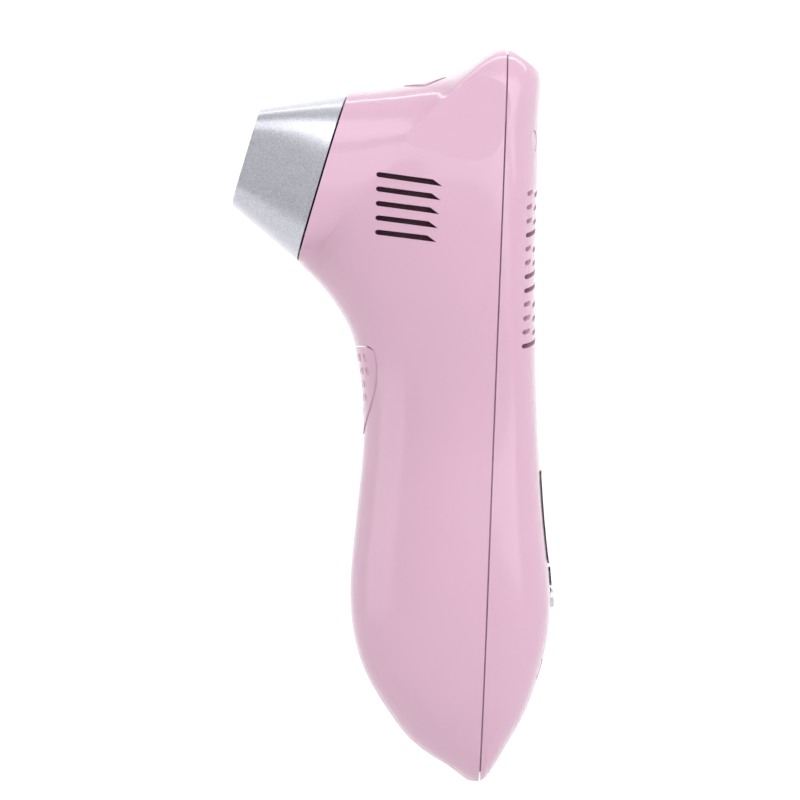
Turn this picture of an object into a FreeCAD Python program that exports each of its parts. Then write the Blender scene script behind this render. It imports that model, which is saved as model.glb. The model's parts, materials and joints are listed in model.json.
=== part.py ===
"""Pulsed-light hair removal handset, drawn piece by piece.

Every piece is drawn in the handset's drawing frame and moved once, at the end, to the row frame.
Drawing frame: X = 0 is the plane where the two shells part, -X points to the lamp head, +X to the
back, Y is sideways and Z = 0 is the lowest point of the grip. Sizes are in millimetres.
"""
import FreeCAD, Part
import Sketcher
import math
import os
from collections import namedtuple
from FreeCAD import Placement, Rotation, Vector

DOC = FreeCAD.newDocument("pulsed_light_handset")
SHEET = DOC.addObject("Spreadsheet::Sheet", "Sizes")

SIZES = [
    ("wall_thickness", 2.2),
    ("seam_gap", 0.4),
    ("tongue_reach", 2.0),
    ("tongue_clearance", 0.15),
    ("aperture_clearance", 0.35),
    ("head_length", 20.0),
    ("head_joint_gap", 0.5),
    ("head_wall", 1.8),
    ("mouth_height", 26.0),
    ("mouth_width", 38.0),
    ("window_height", 14.0),
    ("window_width", 30.0),
    ("window_thickness", 2.0),
    ("bezel_height", 20.2),
    ("bezel_width", 32.6),
    ("bezel_depth", 4.2),
    ("cartridge_height", 30.0),
    ("cartridge_width", 34.0),
    ("cartridge_wall", 1.6),
    ("cartridge_depth", 14.5),
    ("guide_clearance", 0.4),
    ("guide_wall", 1.6),
    ("lamp_radius", 2.3),
    ("lamp_length", 31.0),
    ("holder_width", 3.4),
    ("holder_side", 9.0),
    ("contact_radius", 1.0),
    ("contact_length", 8.0),
    ("contact_clearance", 0.4),
    ("socket_width", 34.0),
    ("socket_height", 18.0),
    ("socket_depth", 9.0),
    ("fan_side", 35.0),
    ("fan_depth", 10.0),
    ("fan_bore_radius", 16.2),
    ("fan_blade_radius", 15.5),
    ("fan_hub_radius", 7.6),
    ("fan_shaft_radius", 0.75),
    ("fan_bearing_radius", 2.0),
    ("board_thickness", 1.6),
    ("main_board_width", 32.0),
    ("main_board_height", 68.0),
    ("capacitor_radius", 10.0),
    ("capacitor_length", 46.0),
    ("display_board_width", 30.0),
    ("display_board_height", 38.0),
    ("display_width", 16.0),
    ("display_height", 21.0),
    ("display_thickness", 2.6),
    ("jack_radius", 4.2),
    ("jack_length", 11.5),
    ("jack_bore_radius", 2.8),
    ("jack_bore_depth", 9.5),
    ("pin_radius", 1.05),
    ("pin_length", 8.0),
    ("screw_radius", 1.2),
    ("screw_head_radius", 2.3),
    ("small_screw_radius", 0.9),
    ("small_screw_head_radius", 1.7),
]


def fill_sheet():
    """Writes the driving sizes to the spreadsheet, one named cell each."""
    for row, (name, value) in enumerate(SIZES, start=1):
        SHEET.set("A%d" % row, name)
        SHEET.set("B%d" % row, str(value))
        SHEET.setAlias("B%d" % row, name)
    DOC.recompute()


def size(name):
    """The value of one driving size."""
    return float(SHEET.get(name))


def of_sheet(expression):
    """An expression text in which every driving size is read from the sheet."""
    words = str(expression).replace("(", " ( ").replace(")", " ) ").split()
    names = {name for name, _ in SIZES}
    return " ".join("Sizes." + word if word in names else word for word in words)


fill_sheet()

# ---------------------------------------------------------------- frames

ROW_SHIFT = Vector(26.0, 0, -95.0)
HEAD_TILT = math.radians(14.5)
HEAD_OUT = Vector(-math.cos(HEAD_TILT), 0, math.sin(HEAD_TILT))
HEAD_UP = Vector(math.sin(HEAD_TILT), 0, math.cos(HEAD_TILT))
HEAD_CENTRE = Vector(-46.2, 0, 154.9)
PANEL_TILT = math.radians(6.6)
PANEL_OUT = Vector(math.cos(PANEL_TILT), 0, math.sin(PANEL_TILT))
PANEL_UP = Vector(-math.sin(PANEL_TILT), 0, math.cos(PANEL_TILT))
PANEL_CENTRE = Vector(15.05, 0, 62.0)
JACK_IN = Vector(0.552, 0, 0.834)
JACK_MOUTH = Vector(-8.75, 0, 4.3)


def turned(origin, out, up):
    """A placement whose z runs along out and whose y runs along up."""
    return Placement(origin, Rotation(up.cross(out), up, out, "ZYX"))


DRAWING = Placement()
HEAD = turned(HEAD_CENTRE, HEAD_OUT, HEAD_UP)
PANEL = turned(PANEL_CENTRE, PANEL_OUT, PANEL_UP)
JACK = turned(JACK_MOUTH, JACK_IN, Vector(0.834, 0, -0.552))
FORWARD = turned(Vector(0, 0, 0), Vector(-1, 0, 0), Vector(0, 0, 1))
BACKWARD = turned(Vector(0, 0, 0), Vector(1, 0, 0), Vector(0, 0, 1))
FAN = turned(Vector(4.0, 0, 133.0), Vector(-1, 0, 0), Vector(0, 0, 1))

PIECES = []


def finish(item, frame):
    """Puts a finished piece from its own frame into the row frame and keeps it for writing."""
    DOC.recompute()
    item.Placement = Placement(ROW_SHIFT, Rotation()).multiply(frame).multiply(item.Placement)
    PIECES.append(item)
    return item


def keep_shape(label, shape, frame=DRAWING):
    """Keeps a shape that neither a body nor primitives can give as a piece of its own."""
    item = DOC.addObject("Part::Feature", label)
    item.Shape = shape
    return finish(item, frame)


# ---------------------------------------------------------------- bodies made of sketches

class Piece:
    """A PartDesign body built from sketches that lie across its z axis."""

    def __init__(self, label):
        self.body = DOC.addObject("PartDesign::Body", label)
        roles = {plane.Role: plane for plane in self.body.Origin.OriginFeatures}
        self.base = roles["XY_Plane"]
        self.side = roles["XZ_Plane"]
        self.spin = roles["Z_Axis"]

    def sketch(self, outlines, height):
        """A sketch at a height, holding rectangles and circles whose sizes come from the sheet."""
        sketch = self.body.newObject("Sketcher::SketchObject", self.body.Name + "_outline")
        sketch.AttachmentSupport = [(self.base, "")]
        sketch.MapMode = "FlatFace"
        sketch.setExpression("AttachmentOffset.Base.z", of_sheet(height))
        for outline in outlines:
            if outline[0] == "circle":
                self.draw_circle(sketch, *outline[1:])
            else:
                self.draw_rectangle(sketch, *outline[1:])
        return sketch

    @staticmethod
    def bind(sketch, constraint, expression):
        """Adds a dimension and ties it to the sheet."""
        index = sketch.addConstraint(constraint)
        sketch.setExpression("Constraints[%d]" % index, of_sheet(expression))

    def draw_circle(self, sketch, x, y, radius):
        """A circle at a fixed place."""
        circle = sketch.addGeometry(Part.Circle(Vector(x, y, 0), Vector(0, 0, 1), 1.0), False)
        self.bind(sketch, Sketcher.Constraint("Radius", circle, 1.0), radius)
        sketch.addConstraint(Sketcher.Constraint("DistanceX", -1, 1, circle, 3, x))
        sketch.addConstraint(Sketcher.Constraint("DistanceY", -1, 1, circle, 3, y))

    def draw_rectangle(self, sketch, x, y, width, height):
        """A rectangle about a fixed middle."""
        corners = [Vector(x - 1, y - 1, 0), Vector(x + 1, y - 1, 0),
                   Vector(x + 1, y + 1, 0), Vector(x - 1, y + 1, 0)]
        sides = []
        for start, end in zip(corners, corners[1:] + corners[:1]):
            sides.append(sketch.addGeometry(Part.LineSegment(start, end), False))
        for first, second in zip(sides, sides[1:] + sides[:1]):
            sketch.addConstraint(Sketcher.Constraint("Coincident", first, 2, second, 1))
        sketch.addConstraint(Sketcher.Constraint("Horizontal", sides[0]))
        sketch.addConstraint(Sketcher.Constraint("Horizontal", sides[2]))
        sketch.addConstraint(Sketcher.Constraint("Vertical", sides[1]))
        sketch.addConstraint(Sketcher.Constraint("Vertical", sides[3]))
        left = "%s - (%s) / 2" % (x, width)
        low = "%s - (%s) / 2" % (y, height)
        self.bind(sketch, Sketcher.Constraint("DistanceX", -1, 1, sides[0], 1, x - 1), left)
        self.bind(sketch, Sketcher.Constraint("DistanceY", -1, 1, sides[0], 1, y - 1), low)
        self.bind(sketch, Sketcher.Constraint("DistanceX", sides[0], 1, sides[0], 2, 2.0), width)
        self.bind(sketch, Sketcher.Constraint("DistanceY", sides[1], 1, sides[1], 2, 2.0), height)

    def pad(self, outlines, height, length):
        """Raises outlines from a height by a length."""
        feature = self.body.newObject("PartDesign::Pad", self.body.Name + "_pad")
        feature.Profile = self.sketch(outlines, height)
        feature.setExpression("Length", of_sheet(length))
        return self

    def pocket(self, outlines, height, depth):
        """Sinks outlines from a height down by a depth."""
        feature = self.body.newObject("PartDesign::Pocket", self.body.Name + "_pocket")
        feature.Profile = self.sketch(outlines, height)
        feature.setExpression("Length", of_sheet(depth))
        return self

    def edges(self, test):
        """The names of the present shape's edges that pass a test."""
        DOC.recompute()
        shape = self.body.Tip.Shape
        return ["Edge%d" % number for number, edge in enumerate(shape.Edges, start=1) if test(edge)]

    def round_uprights(self, radius):
        """Rounds the upright edges that stand furthest from the middle."""
        def upright(edge):
            ends = [vertex.Point for vertex in edge.Vertexes]
            if len(ends) != 2 or edge.Curve.TypeId != "Part::GeomLine":
                return False
            return math.hypot(ends[0].x - ends[1].x, ends[0].y - ends[1].y) < 1e-6
        names = self.edges(upright)
        return self.blend("PartDesign::Fillet", "Radius", names, radius)

    def round_rim(self, height, radius):
        """Rounds every edge that lies at a height."""
        def level(edge):
            box = edge.BoundBox
            return abs(box.ZMin - height) < 1e-5 and abs(box.ZMax - height) < 1e-5
        return self.blend("PartDesign::Fillet", "Radius", self.edges(level), radius)

    def blend(self, kind, property_name, names, amount):
        """Adds a fillet or chamfer to named edges of the present shape."""
        tip = self.body.Tip
        feature = self.body.newObject(kind, self.body.Name + "_blend")
        feature.Base = (tip, names)
        setattr(feature, property_name, amount)
        return self

    def place(self, frame):
        """Finishes the piece in its frame."""
        return finish(self.body, frame)


def screws(label, places, frame, shank, head, length):
    """A set of like screws, head first along the frame's z, from one turned outline."""
    outline = [Vector(0, 0, 0), Vector(size(head), 0, 0), Vector(size(head), 0, 0.9),
               Vector(size(head) * 0.72, 0, 1.5), Vector(size(shank), 0, 1.5),
               Vector(size(shank), 0, length + 0.6), Vector(0, 0, length + 1.5), Vector(0, 0, 0)]
    screw = Part.Face(Part.makePolygon(outline)).revolve(Vector(), Vector(0, 0, 1), 360)
    arm = size(head) * 1.1
    cross = Part.makeBox(arm, 0.5, 0.7, Vector(-arm / 2, -0.25, -0.1))
    turned_cross = cross.copy()
    turned_cross.rotate(Vector(), Vector(0, 0, 1), 90)
    screw = screw.cut([cross, turned_cross])
    solids = []
    for place in places:
        one = screw.copy()
        one.translate(Vector(*place))
        solids.append(one)
    return keep_shape(label, Part.makeCompound(solids), frame)


# ---------------------------------------------------------------- the outer form

Station = namedtuple("Station", "front rear width rear_reach front_power rear_power")

# Each station is a slice that fans from level, at the grip, to upright, at the lamp head. front and
# rear are its end points (x, z), width is half its breadth, rear_reach is how far the widest line
# lies from the rear end, and the powers say how square the slice is towards each end.
STATIONS = [
    Station((-3.2, 0.0), (0.6, 0.0), 4.5, 1.0, 2.0, 2.2),
    Station((-10.0, 4.3), (2.8, 2.4), 9.8, 2.9, 2.1, 2.4),
    Station((-18.3, 10.0), (7.0, 10.0), 14.6, 7.0, 2.2, 2.6),
    Station((-24.6, 17.5), (10.9, 17.5), 17.6, 10.9, 2.3, 2.7),
    Station((-30.4, 26.5), (14.0, 26.5), 19.8, 14.0, 2.35, 2.8),
    Station((-34.2, 37.5), (16.3, 37.5), 21.4, 16.3, 2.4, 3.0),
    Station((-35.5, 50.0), (16.6, 50.0), 22.2, 16.6, 2.4, 3.0),
    Station((-34.9, 63.0), (14.9, 63.0), 22.2, 14.9, 2.4, 3.0),
    Station((-34.0, 76.0), (13.3, 76.0), 21.8, 13.3, 2.4, 3.0),
    Station((-33.4, 88.0), (12.1, 89.0), 21.6, 12.1, 2.4, 3.0),
    Station((-33.8, 98.5), (11.1, 101.5), 22.1, 11.6, 2.4, 3.0),
    Station((-35.3, 107.5), (10.3, 115.0), 23.2, 11.6, 2.4, 3.0),
    Station((-37.9, 115.6), (9.6, 130.0), 24.6, 12.6, 2.4, 3.0),
    Station((-41.3, 121.4), (9.2, 146.0), 25.7, 14.6, 2.45, 3.0),
    Station((-44.3, 125.3), (9.2, 161.5), 26.4, 18.0, 2.5, 2.9),
    Station((-46.8, 128.0), (9.0, 175.5), 26.6, 23.5, 2.6, 2.8),
    Station((-48.4, 129.6), (7.4, 187.0), 26.4, 28.5, 2.7, 2.6),
    Station((-49.6, 130.6), (-1.0, 190.3), 26.1, 30.5, 2.9, 2.5),
    Station((-50.4, 131.3), (-9.5, 185.2), 25.8, 28.5, 3.1, 2.45),
    Station((-51.0, 131.9), (-20.0, 180.9), 25.4, 25.5, 3.4, 2.45),
    Station((-51.5, 132.4), (-31.0, 178.7), 25.0, 24.0, 3.7, 2.5),
    Station((-51.9, 132.8), (-40.4, 177.3), 24.7, 22.9, 4.0, 2.6),
]
SLICE_POINTS = 44


def slice_wire(front, rear, width, rear_reach, front_power, rear_power, inset=0.0):
    """A closed smooth outline: two half super-ellipses that share their widest line."""
    length = (rear - front).Length
    along = (rear - front) * (1 / length)
    middle = rear - along * rear_reach
    reaches = (rear_reach - inset, length - rear_reach - inset)
    steps = 600
    fine = []
    for step in range(steps + 1):
        angle = math.pi * step / steps
        cosine = math.cos(angle)
        power = rear_power if cosine >= 0 else front_power
        reach = reaches[0] if cosine >= 0 else reaches[1]
        u = math.copysign(reach * abs(cosine) ** (2 / power), cosine)
        y = (width - inset) * abs(math.sin(angle)) ** (2 / power)
        fine.append((u, y))
    run = [0.0]
    for (u0, y0), (u1, y1) in zip(fine, fine[1:]):
        run.append(run[-1] + math.hypot(u1 - u0, y1 - y0))
    half = []
    index = 0
    for number in range(SLICE_POINTS // 2 + 1):
        target = run[-1] * number / (SLICE_POINTS // 2)
        while index < steps - 1 and run[index + 1] < target:
            index += 1
        part = (target - run[index]) / (run[index + 1] - run[index])
        u = fine[index][0] + (fine[index + 1][0] - fine[index][0]) * part
        y = fine[index][1] + (fine[index + 1][1] - fine[index][1]) * part
        half.append((u, y))
    half[0] = (reaches[0], 0.0)
    half[-1] = (-reaches[1], 0.0)
    both = half + [(u, -y) for u, y in half[-2:0:-1]]
    points = [middle + along * u + Vector(0, y, 0) for u, y in both]
    curve = Part.BSplineCurve()
    knots = [number / len(points) for number in range(len(points) + 1)]
    curve.interpolate(Points=points, PeriodicFlag=True, Parameters=knots)
    return Part.Wire([curve.toShape()])


def station_wire(station, inset=0.0):
    """The outline of one station, drawn in by an inset."""
    front = Vector(station.front[0], 0, station.front[1])
    rear = Vector(station.rear[0], 0, station.rear[1])
    return slice_wire(front, rear, station.width, station.rear_reach,
                      station.front_power, station.rear_power, inset)


REAR_CHAMFER = Part.makeBox(40, 80, 20, Vector(-20, -40, 0))
REAR_CHAMFER.rotate(Vector(), Vector(0, 1, 0), 34.0)
REAR_CHAMFER.translate(Vector(1.0, 0, 189.25))

TOP_FACETS = []
for side in (-1, 1):
    facet = Part.makeBox(80, 20, 60, Vector(-60, 0 if side > 0 else -20, -5))
    facet.rotate(Vector(), Vector(1, 0, 0), side * 10.0)
    facet.translate(Vector(0, side * 26.2, 162.2))
    TOP_FACETS.append((side, facet))

FORMS = {}


def skinned(wires, heights):
    """A closed solid whose one smooth side face runs through all the outlines."""
    curves = [wire.Edges[0].Curve for wire in wires]
    rows = []
    for strand in zip(*[curve.getPoles() for curve in curves]):
        along = Part.BSplineCurve()
        along.interpolate(Points=list(strand), Parameters=heights)
        rows.append(along.getPoles())
    surface = Part.BSplineSurface()
    surface.buildFromPolesMultsKnots(rows, curves[0].getMultiplicities(), along.getMultiplicities(),
                                     curves[0].getKnots(), along.getKnots(), True, False, 3, 3)
    side = surface.toShape()
    ends = [Part.Face(Part.Wire([edge])) for edge in side.Edges
            if edge.isClosed() and len(edge.Vertexes) == 1 and not edge.isSeam(side)]
    shell = Part.makeShell([side] + ends)
    shell.sewShape()
    solid = Part.makeSolid(Part.Shell(shell.Faces))
    if solid.Volume < 0:
        solid.reverse()
    return solid


def form(inset=0.0):
    """The housing's solid form, drawn in by an inset, with its top slope and side facets cut."""
    if inset not in FORMS:
        stations = STATIONS if inset <= 0 else STATIONS[2:] if inset > 1.5 else STATIONS[1:]
        heights = [0.0]
        for low, high in zip(stations, stations[1:]):
            step = (math.dist(low.front, high.front) + math.dist(low.rear, high.rear)) / 2
            heights.append(heights[-1] + step)
        solid = skinned([station_wire(station, inset) for station in stations], heights)
        cuts = [REAR_CHAMFER.copy()]
        cuts[0].translate(Vector(-0.559, 0, -0.829) * inset)
        for side, facet in TOP_FACETS:
            facet = facet.copy()
            facet.translate(Vector(0, -0.985 * side, -0.174) * inset)
            cuts.append(facet)
        FORMS[inset] = solid.cut(cuts).Solids[0]
    return FORMS[inset].copy()


def slab(low, high):
    """A plain block between two corners."""
    low = Vector(*low)
    high = Vector(*high)
    sides = high - low
    return Part.makeBox(sides.x, sides.y, sides.z, low)


def placed(shape, frame):
    """A copy of a shape moved from its own frame to the drawing frame."""
    copy = shape.copy()
    copy.Placement = frame.multiply(copy.Placement)
    return copy


def column(radius, foot, direction, length):
    """A plain cylinder."""
    return Part.makeCylinder(radius, length, Vector(*foot), Vector(*direction))


def rounded(width, height, radius, x=0.0, y=0.0, z=0.0):
    """A rounded rectangle's face, flat in a frame's xy."""
    left, right = x - width / 2, x + width / 2
    low, high = y - height / 2, y + height / 2
    bend = radius * (1 - math.sqrt(0.5))
    edges = []
    runs = [((left + radius, low), (right - radius, low)),
            ((right, low + radius), (right, high - radius)),
            ((right - radius, high), (left + radius, high)),
            ((left, high - radius), (left, low + radius))]
    corners = [(right - bend, low + bend), (right - bend, high - bend),
               (left + bend, high - bend), (left + bend, low + bend)]
    for number, (start, end) in enumerate(runs):
        after = runs[(number + 1) % 4][0]
        if math.dist(start, end) > 1e-6:
            edges.append(Part.makeLine(Vector(*start, z), Vector(*end, z)))
        edges.append(Part.Arc(Vector(*end, z), Vector(*corners[number], z),
                              Vector(*after, z)).toShape())
    return Part.Face(Part.Wire(edges))


def drawn_up(face, length):
    """A face drawn along its frame's z."""
    return face.extrude(Vector(0, 0, length))


def dimples(shape, places, direction, radius, lift):
    """The little balls that press dimples into a shape's skin at the given places."""
    balls = []
    for place in places:
        ray = Part.makeLine(place, place + direction * 60)
        hits = [vertex.Point for vertex in shape.common(ray).Vertexes]
        if not hits:
            continue
        hit = min(hits, key=lambda point: (point - place).Length)
        balls.append(Part.makeSphere(radius, hit - direction * lift))
    return balls


def spring(foot, direction, radius, wire_radius, length, turns):
    """An open coil spring standing on a foot point."""
    helix = Part.makeHelix(length / turns, length, radius)
    round_wire = Part.Wire([Part.makeCircle(wire_radius, Vector(radius, 0, 0), Vector(0, 1, 0))])
    coil = Part.Wire(helix.Edges).makePipeShell([round_wire], True, True)
    coil.Placement = Placement(Vector(*foot), Rotation(Vector(0, 0, 1), Vector(*direction)))
    return coil


def lead(points, radius):
    """A round wire that runs smoothly through its points."""
    path = Part.BSplineCurve()
    path.interpolate([Vector(*point) for point in points])
    start = path.value(path.FirstParameter)
    heading = path.tangent(path.FirstParameter)[0]
    end = Part.Wire([Part.makeCircle(radius, start, heading)])
    return Part.Wire([path.toShape()]).makePipeShell([end], True, True)


# ---------------------------------------------------------------- openings in the shells

def trigger_outline(margin=0.0):
    """The shield-shaped outline of the trigger in a frame whose x is sideways and y is up."""
    corner = 2.0
    top = 111.4
    left = Part.Arc(Vector(-13.6, top - corner, 0), Vector(-11.3, 100.0, 0),
                    Vector(-3.6, 90.2, 0)).toShape()
    foot = Part.Arc(Vector(-3.6, 90.2, 0), Vector(0, 88.8, 0), Vector(3.6, 90.2, 0)).toShape()
    right = Part.Arc(Vector(3.6, 90.2, 0), Vector(11.3, 100.0, 0),
                     Vector(13.6, top - corner, 0)).toShape()
    right_corner = Part.Arc(Vector(13.6, top - corner, 0), Vector(13.1, top - 0.6, 0),
                            Vector(11.6, top, 0)).toShape()
    edge = Part.makeLine(Vector(11.6, top, 0), Vector(-11.6, top, 0))
    left_corner = Part.Arc(Vector(-11.6, top, 0), Vector(-13.1, top - 0.6, 0),
                           Vector(-13.6, top - corner, 0)).toShape()
    wire = Part.Wire([left, foot, right, right_corner, edge, left_corner])
    if margin:
        wire = wire.makeOffset2D(margin)
    return Part.Face(wire)


def trigger_prism(margin, front, rear):
    """The trigger's outline carried straight through the front wall."""
    return placed(drawn_up(trigger_outline(margin), rear - front),
                  turned(Vector(front, 0, 0), Vector(1, 0, 0), Vector(0, 0, 1)))


def release_prism(margin, low, high):
    """The release button's lens outline carried straight down through the top wall."""
    middle = -20.9
    blunt = 1.0
    half_long = 12.0 - blunt
    half_short = 5.7 - blunt
    ends = (Vector(middle, half_long, low), Vector(middle, -half_long, low))
    front = Part.Arc(ends[0], Vector(middle - half_short, 0, low), ends[1]).toShape()
    back = Part.Arc(ends[1], Vector(middle + half_short, 0, low), ends[0]).toShape()
    wire = Part.Wire([front, back]).makeOffset2D(blunt + margin)
    return drawn_up(Part.Face(wire), high - low)


def long_hole(start, end, half):
    """The face of a slot with bevelled ends that stands square to X."""
    along = (end - start).normalize() * half
    up = Vector(1, 0, 0).cross(along)
    corners = [end + up, end + along * 0.87 + up * 0.5, end + along * 0.87 - up * 0.5, end - up,
               start - up, start - along * 0.87 - up * 0.5, start - along * 0.87 + up * 0.5,
               start + up]
    return Part.Face(Part.makePolygon(corners + corners[:1]))


def side_slots():
    """Five knife-shaped air slots, cut straight through both sides."""
    cuts = []
    first = (Vector(-31.92, 0, 155.35), Vector(-15.62, 0, 152.92))
    last = (Vector(-31.68, 0, 140.72), Vector(-16.54, 0, 138.66))
    for number in range(5):
        share = number / 4
        start = first[0] * (1 - share) + last[0] * share
        tip = first[1] * (1 - share) + last[1] * share
        along = (tip - start).normalize()
        up = Vector(-along.z, 0, along.x)
        reach = along * 0.65
        lift = up * 0.65
        corners = [start - lift, tip, tip - reach * 4 + lift * 2, start + lift,
                   start - reach * 0.87 + lift * 0.5, start - reach * 0.87 - lift * 0.5,
                   start - lift]
        face = Part.Face(Part.makePolygon(corners))
        face.translate(Vector(0, -40, 0))
        cuts.append(face.extrude(Vector(0, 80, 0)))
    return cuts


def rear_slots():
    """Twelve rows of air slots across the back that rise towards the middle."""
    cuts = []
    rise = math.tan(math.radians(10))
    half = 0.6
    for row in range(12):
        level = 152.1 - 3.555 * row
        if row in (3, 6, 7, 11):
            dashes = [(20.8, 2.6)]
        elif row % 2:
            dashes = [(20.8, 17.0), (15.0, 9.4), (7.6, 2.6)]
        else:
            dashes = [(20.8, 17.0), (15.0, 2.6)]
        for outer, inner in dashes:
            for side in (-1, 1):
                start = Vector(3.0, side * (outer - half), level)
                end = Vector(3.0, side * (inner + half), level + (outer - inner) * rise)
                cuts.append(long_hole(start, end, half).extrude(Vector(20, 0, 0)))
    return cuts


LENS = dict(width=18.4, height=24.2, radius=2.4, y=7.4)
LEVEL_KEY = dict(width=12.0, height=5.0, radius=2.45, y=-8.2)
POWER_KEY_HEIGHT = -13.9
POWER_KEY_RADIUS = 2.6


def panel_prism(width, height, radius, y, margin=0.0, low=-12.0, high=6.0):
    """A rounded outline on the back panel carried square through the wall."""
    face = rounded(width + 2 * margin, height + 2 * margin, radius + margin, 0.0, y, low)
    return placed(drawn_up(face, high - low), PANEL)


def power_prism(margin, low=-12.0, high=6.0):
    """The round power key's outline carried square through the back wall."""
    foot = Vector(0, POWER_KEY_HEIGHT, low)
    return placed(Part.makeCylinder(POWER_KEY_RADIUS + margin, high - low, foot), PANEL)


# ---------------------------------------------------------------- the two shells

SHELL_SCREWS = [(9.0, 30.0, 9.0), (-9.0, 30.0, 9.0), (15.0, 166.0, 4.4), (-15.0, 166.0, 4.4)]
BOARD_POSTS = [(12.0, 39.2), (-12.0, 39.2), (12.0, 99.0), (-12.0, 99.0)]
DISPLAY_POSTS = [(12.6, -16.5), (-12.6, -16.5), (12.6, 15.8), (-12.6, 15.8)]
TRIGGER_BOARD_SCREWS = [(15.2, 99.0), (-15.2, 99.0)]
FAN_HOLES = [(14.5, 147.5), (-14.5, 147.5), (14.5, 118.5), (-14.5, 118.5)]


SEAM_NOTCH = Part.makeBox(1.0, 80, 10, Vector(-0.5, -40, 189.05))


def jack_space():
    """The round seat, nose hole and flat of the charging inlet."""
    seat = Part.makeCylinder(size("jack_radius") + 0.3, 30, Vector(0, 0, 1.6))
    nose = Part.makeCylinder(3.4, 6, Vector(0, 0, -2))
    flat = Part.makeCylinder(5.2, 6, Vector(0, 0, -6))
    return [placed(shape, JACK) for shape in (seat, nose, flat)]


def front_shell():
    """The front shell with its trigger, release and side air openings and its inner bosses."""
    half = size("seam_gap") / 2
    wall = size("wall_thickness")
    gap = size("aperture_clearance")
    before = slab((-80, -40, -10), (-half, 40, 200))
    skin = form().cut(form(wall)).common(before)
    skin = skin.cut(side_slots() + [trigger_prism(gap, -40, -24), release_prism(gap, 172, 190),
                                    SEAM_NOTCH])
    tongue = form(1.3).cut(form(wall)).common(slab((-1.2, -40, -10), (size("tongue_reach"), 40, 200)))
    inner = form(1.0).common(before)
    adds = [tongue]
    for y, z, _ in SHELL_SCREWS:
        side = math.copysign(1, y)
        boss = column(3.2, (-14, y, z), (1, 0, 0), 13.6)
        reach = sorted((y, side * 30))
        web = slab((-14, reach[0], z - 0.9), (-0.6, reach[1], z + 0.9))
        adds += [boss.common(inner), web.common(inner)]
    for y, z in TRIGGER_BOARD_SCREWS:
        side = math.copysign(1, y)
        reach = sorted((side * 13.9, side * 30))
        ledge = slab((-24.0, reach[0], z - 3.4), (-21.4, reach[1], z + 3.4))
        adds.append(ledge.common(inner))
    adds.append(slab((-25.6, -30, 166.6), (-16.4, 30, 168.4)).common(inner))
    shell = skin.multiFuse(adds)
    holes = jack_space()
    for y, z, _ in SHELL_SCREWS:
        holes.append(column(size("screw_radius") + 0.05, (-13, y, z), (1, 0, 0), 16))
    for y, z in TRIGGER_BOARD_SCREWS:
        holes.append(column(size("small_screw_radius") + 0.05, (-24.8, y, z), (1, 0, 0), 6))
    return keep_shape("front_shell", shell.cut(holes))


def rear_shell():
    """The rear shell with its grille, display window, key holes, screw wells and posts."""
    half = size("seam_gap") / 2
    wall = size("wall_thickness")
    gap = size("aperture_clearance")
    reach = size("tongue_reach") + 0.2
    behind = slab((half, -40, -10), (40, 40, 200))
    rebate = form(1.3 - size("tongue_clearance")).common(slab((0, -40, -10), (reach, 40, 200)))
    skin = form().cut(form(wall)).common(behind).cut([rebate, SEAM_NOTCH] + rear_slots())
    recess = panel_prism(margin=0.15, low=-8, **LENS).cut(form(1.1))
    window = panel_prism(15.4, 20.4, 1.2, 7.4)
    skin = skin.cut([recess, window, panel_prism(margin=gap, **LEVEL_KEY), power_prism(gap)])
    inner = form(1.0).common(slab((half + 0.2, -40, -10), (40, 40, 200)))
    adds = []
    holes = jack_space()
    for y, z, well in SHELL_SCREWS:
        adds.append(column(3.2, (0.5, y, z), (1, 0, 0), 20).common(inner))
        holes.append(column(1.5, (-5, y, z), (1, 0, 0), 30))
        holes.append(column(2.7, (well, y, z), (1, 0, 0), 20))
    for y, z in BOARD_POSTS:
        low = -size("board_thickness") / 2 - 1.0
        post = column(2.2, (low, y, z), (1, 0, 0), 20)
        adds.append(post.common(form(1.0)))
        holes.append(column(size("small_screw_radius") + 0.05, (low - 1, y, z), (1, 0, 0), 7))
    for y, z in FAN_HOLES:
        adds.append(column(2.5, (4.0, y, z), (1, 0, 0), 10).common(inner))
        holes.append(column(size("small_screw_radius") + 0.05, (3, y, z), (1, 0, 0), 3.6))
    for x, y in DISPLAY_POSTS:
        post = placed(Part.makeCylinder(2.0, 6, Vector(x, y, -5.6)), PANEL)
        adds.append(post.common(inner))
        hole = Part.makeCylinder(size("small_screw_radius") + 0.05, 4.2, Vector(x, y, -6.5))
        holes.append(placed(hole, PANEL))
    shell = skin.multiFuse(adds).cut(holes)
    return keep_shape("rear_shell", shell)


def shell_screws():
    """The four screws that draw the two shells together from the back."""
    places = [(-y, z, -(well + 1.5)) for y, z, well in SHELL_SCREWS]
    return screws("shell_screws", places, FORWARD, "screw_radius", "screw_head_radius", 14.0)


# ---------------------------------------------------------------- lamp head, in the head frame

def head_slice(height_at, inset=0.0):
    """A cross slice of the lamp head between its joint with the housing and its mouth."""
    share = (height_at - size("head_joint_gap")) / size("head_length")
    base = STATIONS[-1]
    low, high = -22.65, 22.65
    mouth = size("mouth_height") / 2
    bottom = (low + 0.3) * (1 - share) + (-mouth - 0.6) * share
    top = (high - 0.5) * (1 - share) + (mouth - 0.6) * share
    width = (base.width - 0.3) * (1 - share) + size("mouth_width") / 2 * share
    reach = (top - bottom) * 0.5
    front_power = base.front_power * (1 - share) + 5.0 * share
    rear_power = base.rear_power * (1 - share) + 4.4 * share
    return slice_wire(HEAD.multVec(Vector(0, bottom, height_at)),
                      HEAD.multVec(Vector(0, top, height_at)),
                      width, reach, front_power, rear_power, inset)


def head_form(low, high, inset=0.0):
    """The tapering solid between two heights of the lamp head."""
    heights = [low + (high - low) * share / 3 for share in range(4)]
    return skinned([head_slice(height, inset) for height in heights], heights)


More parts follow.
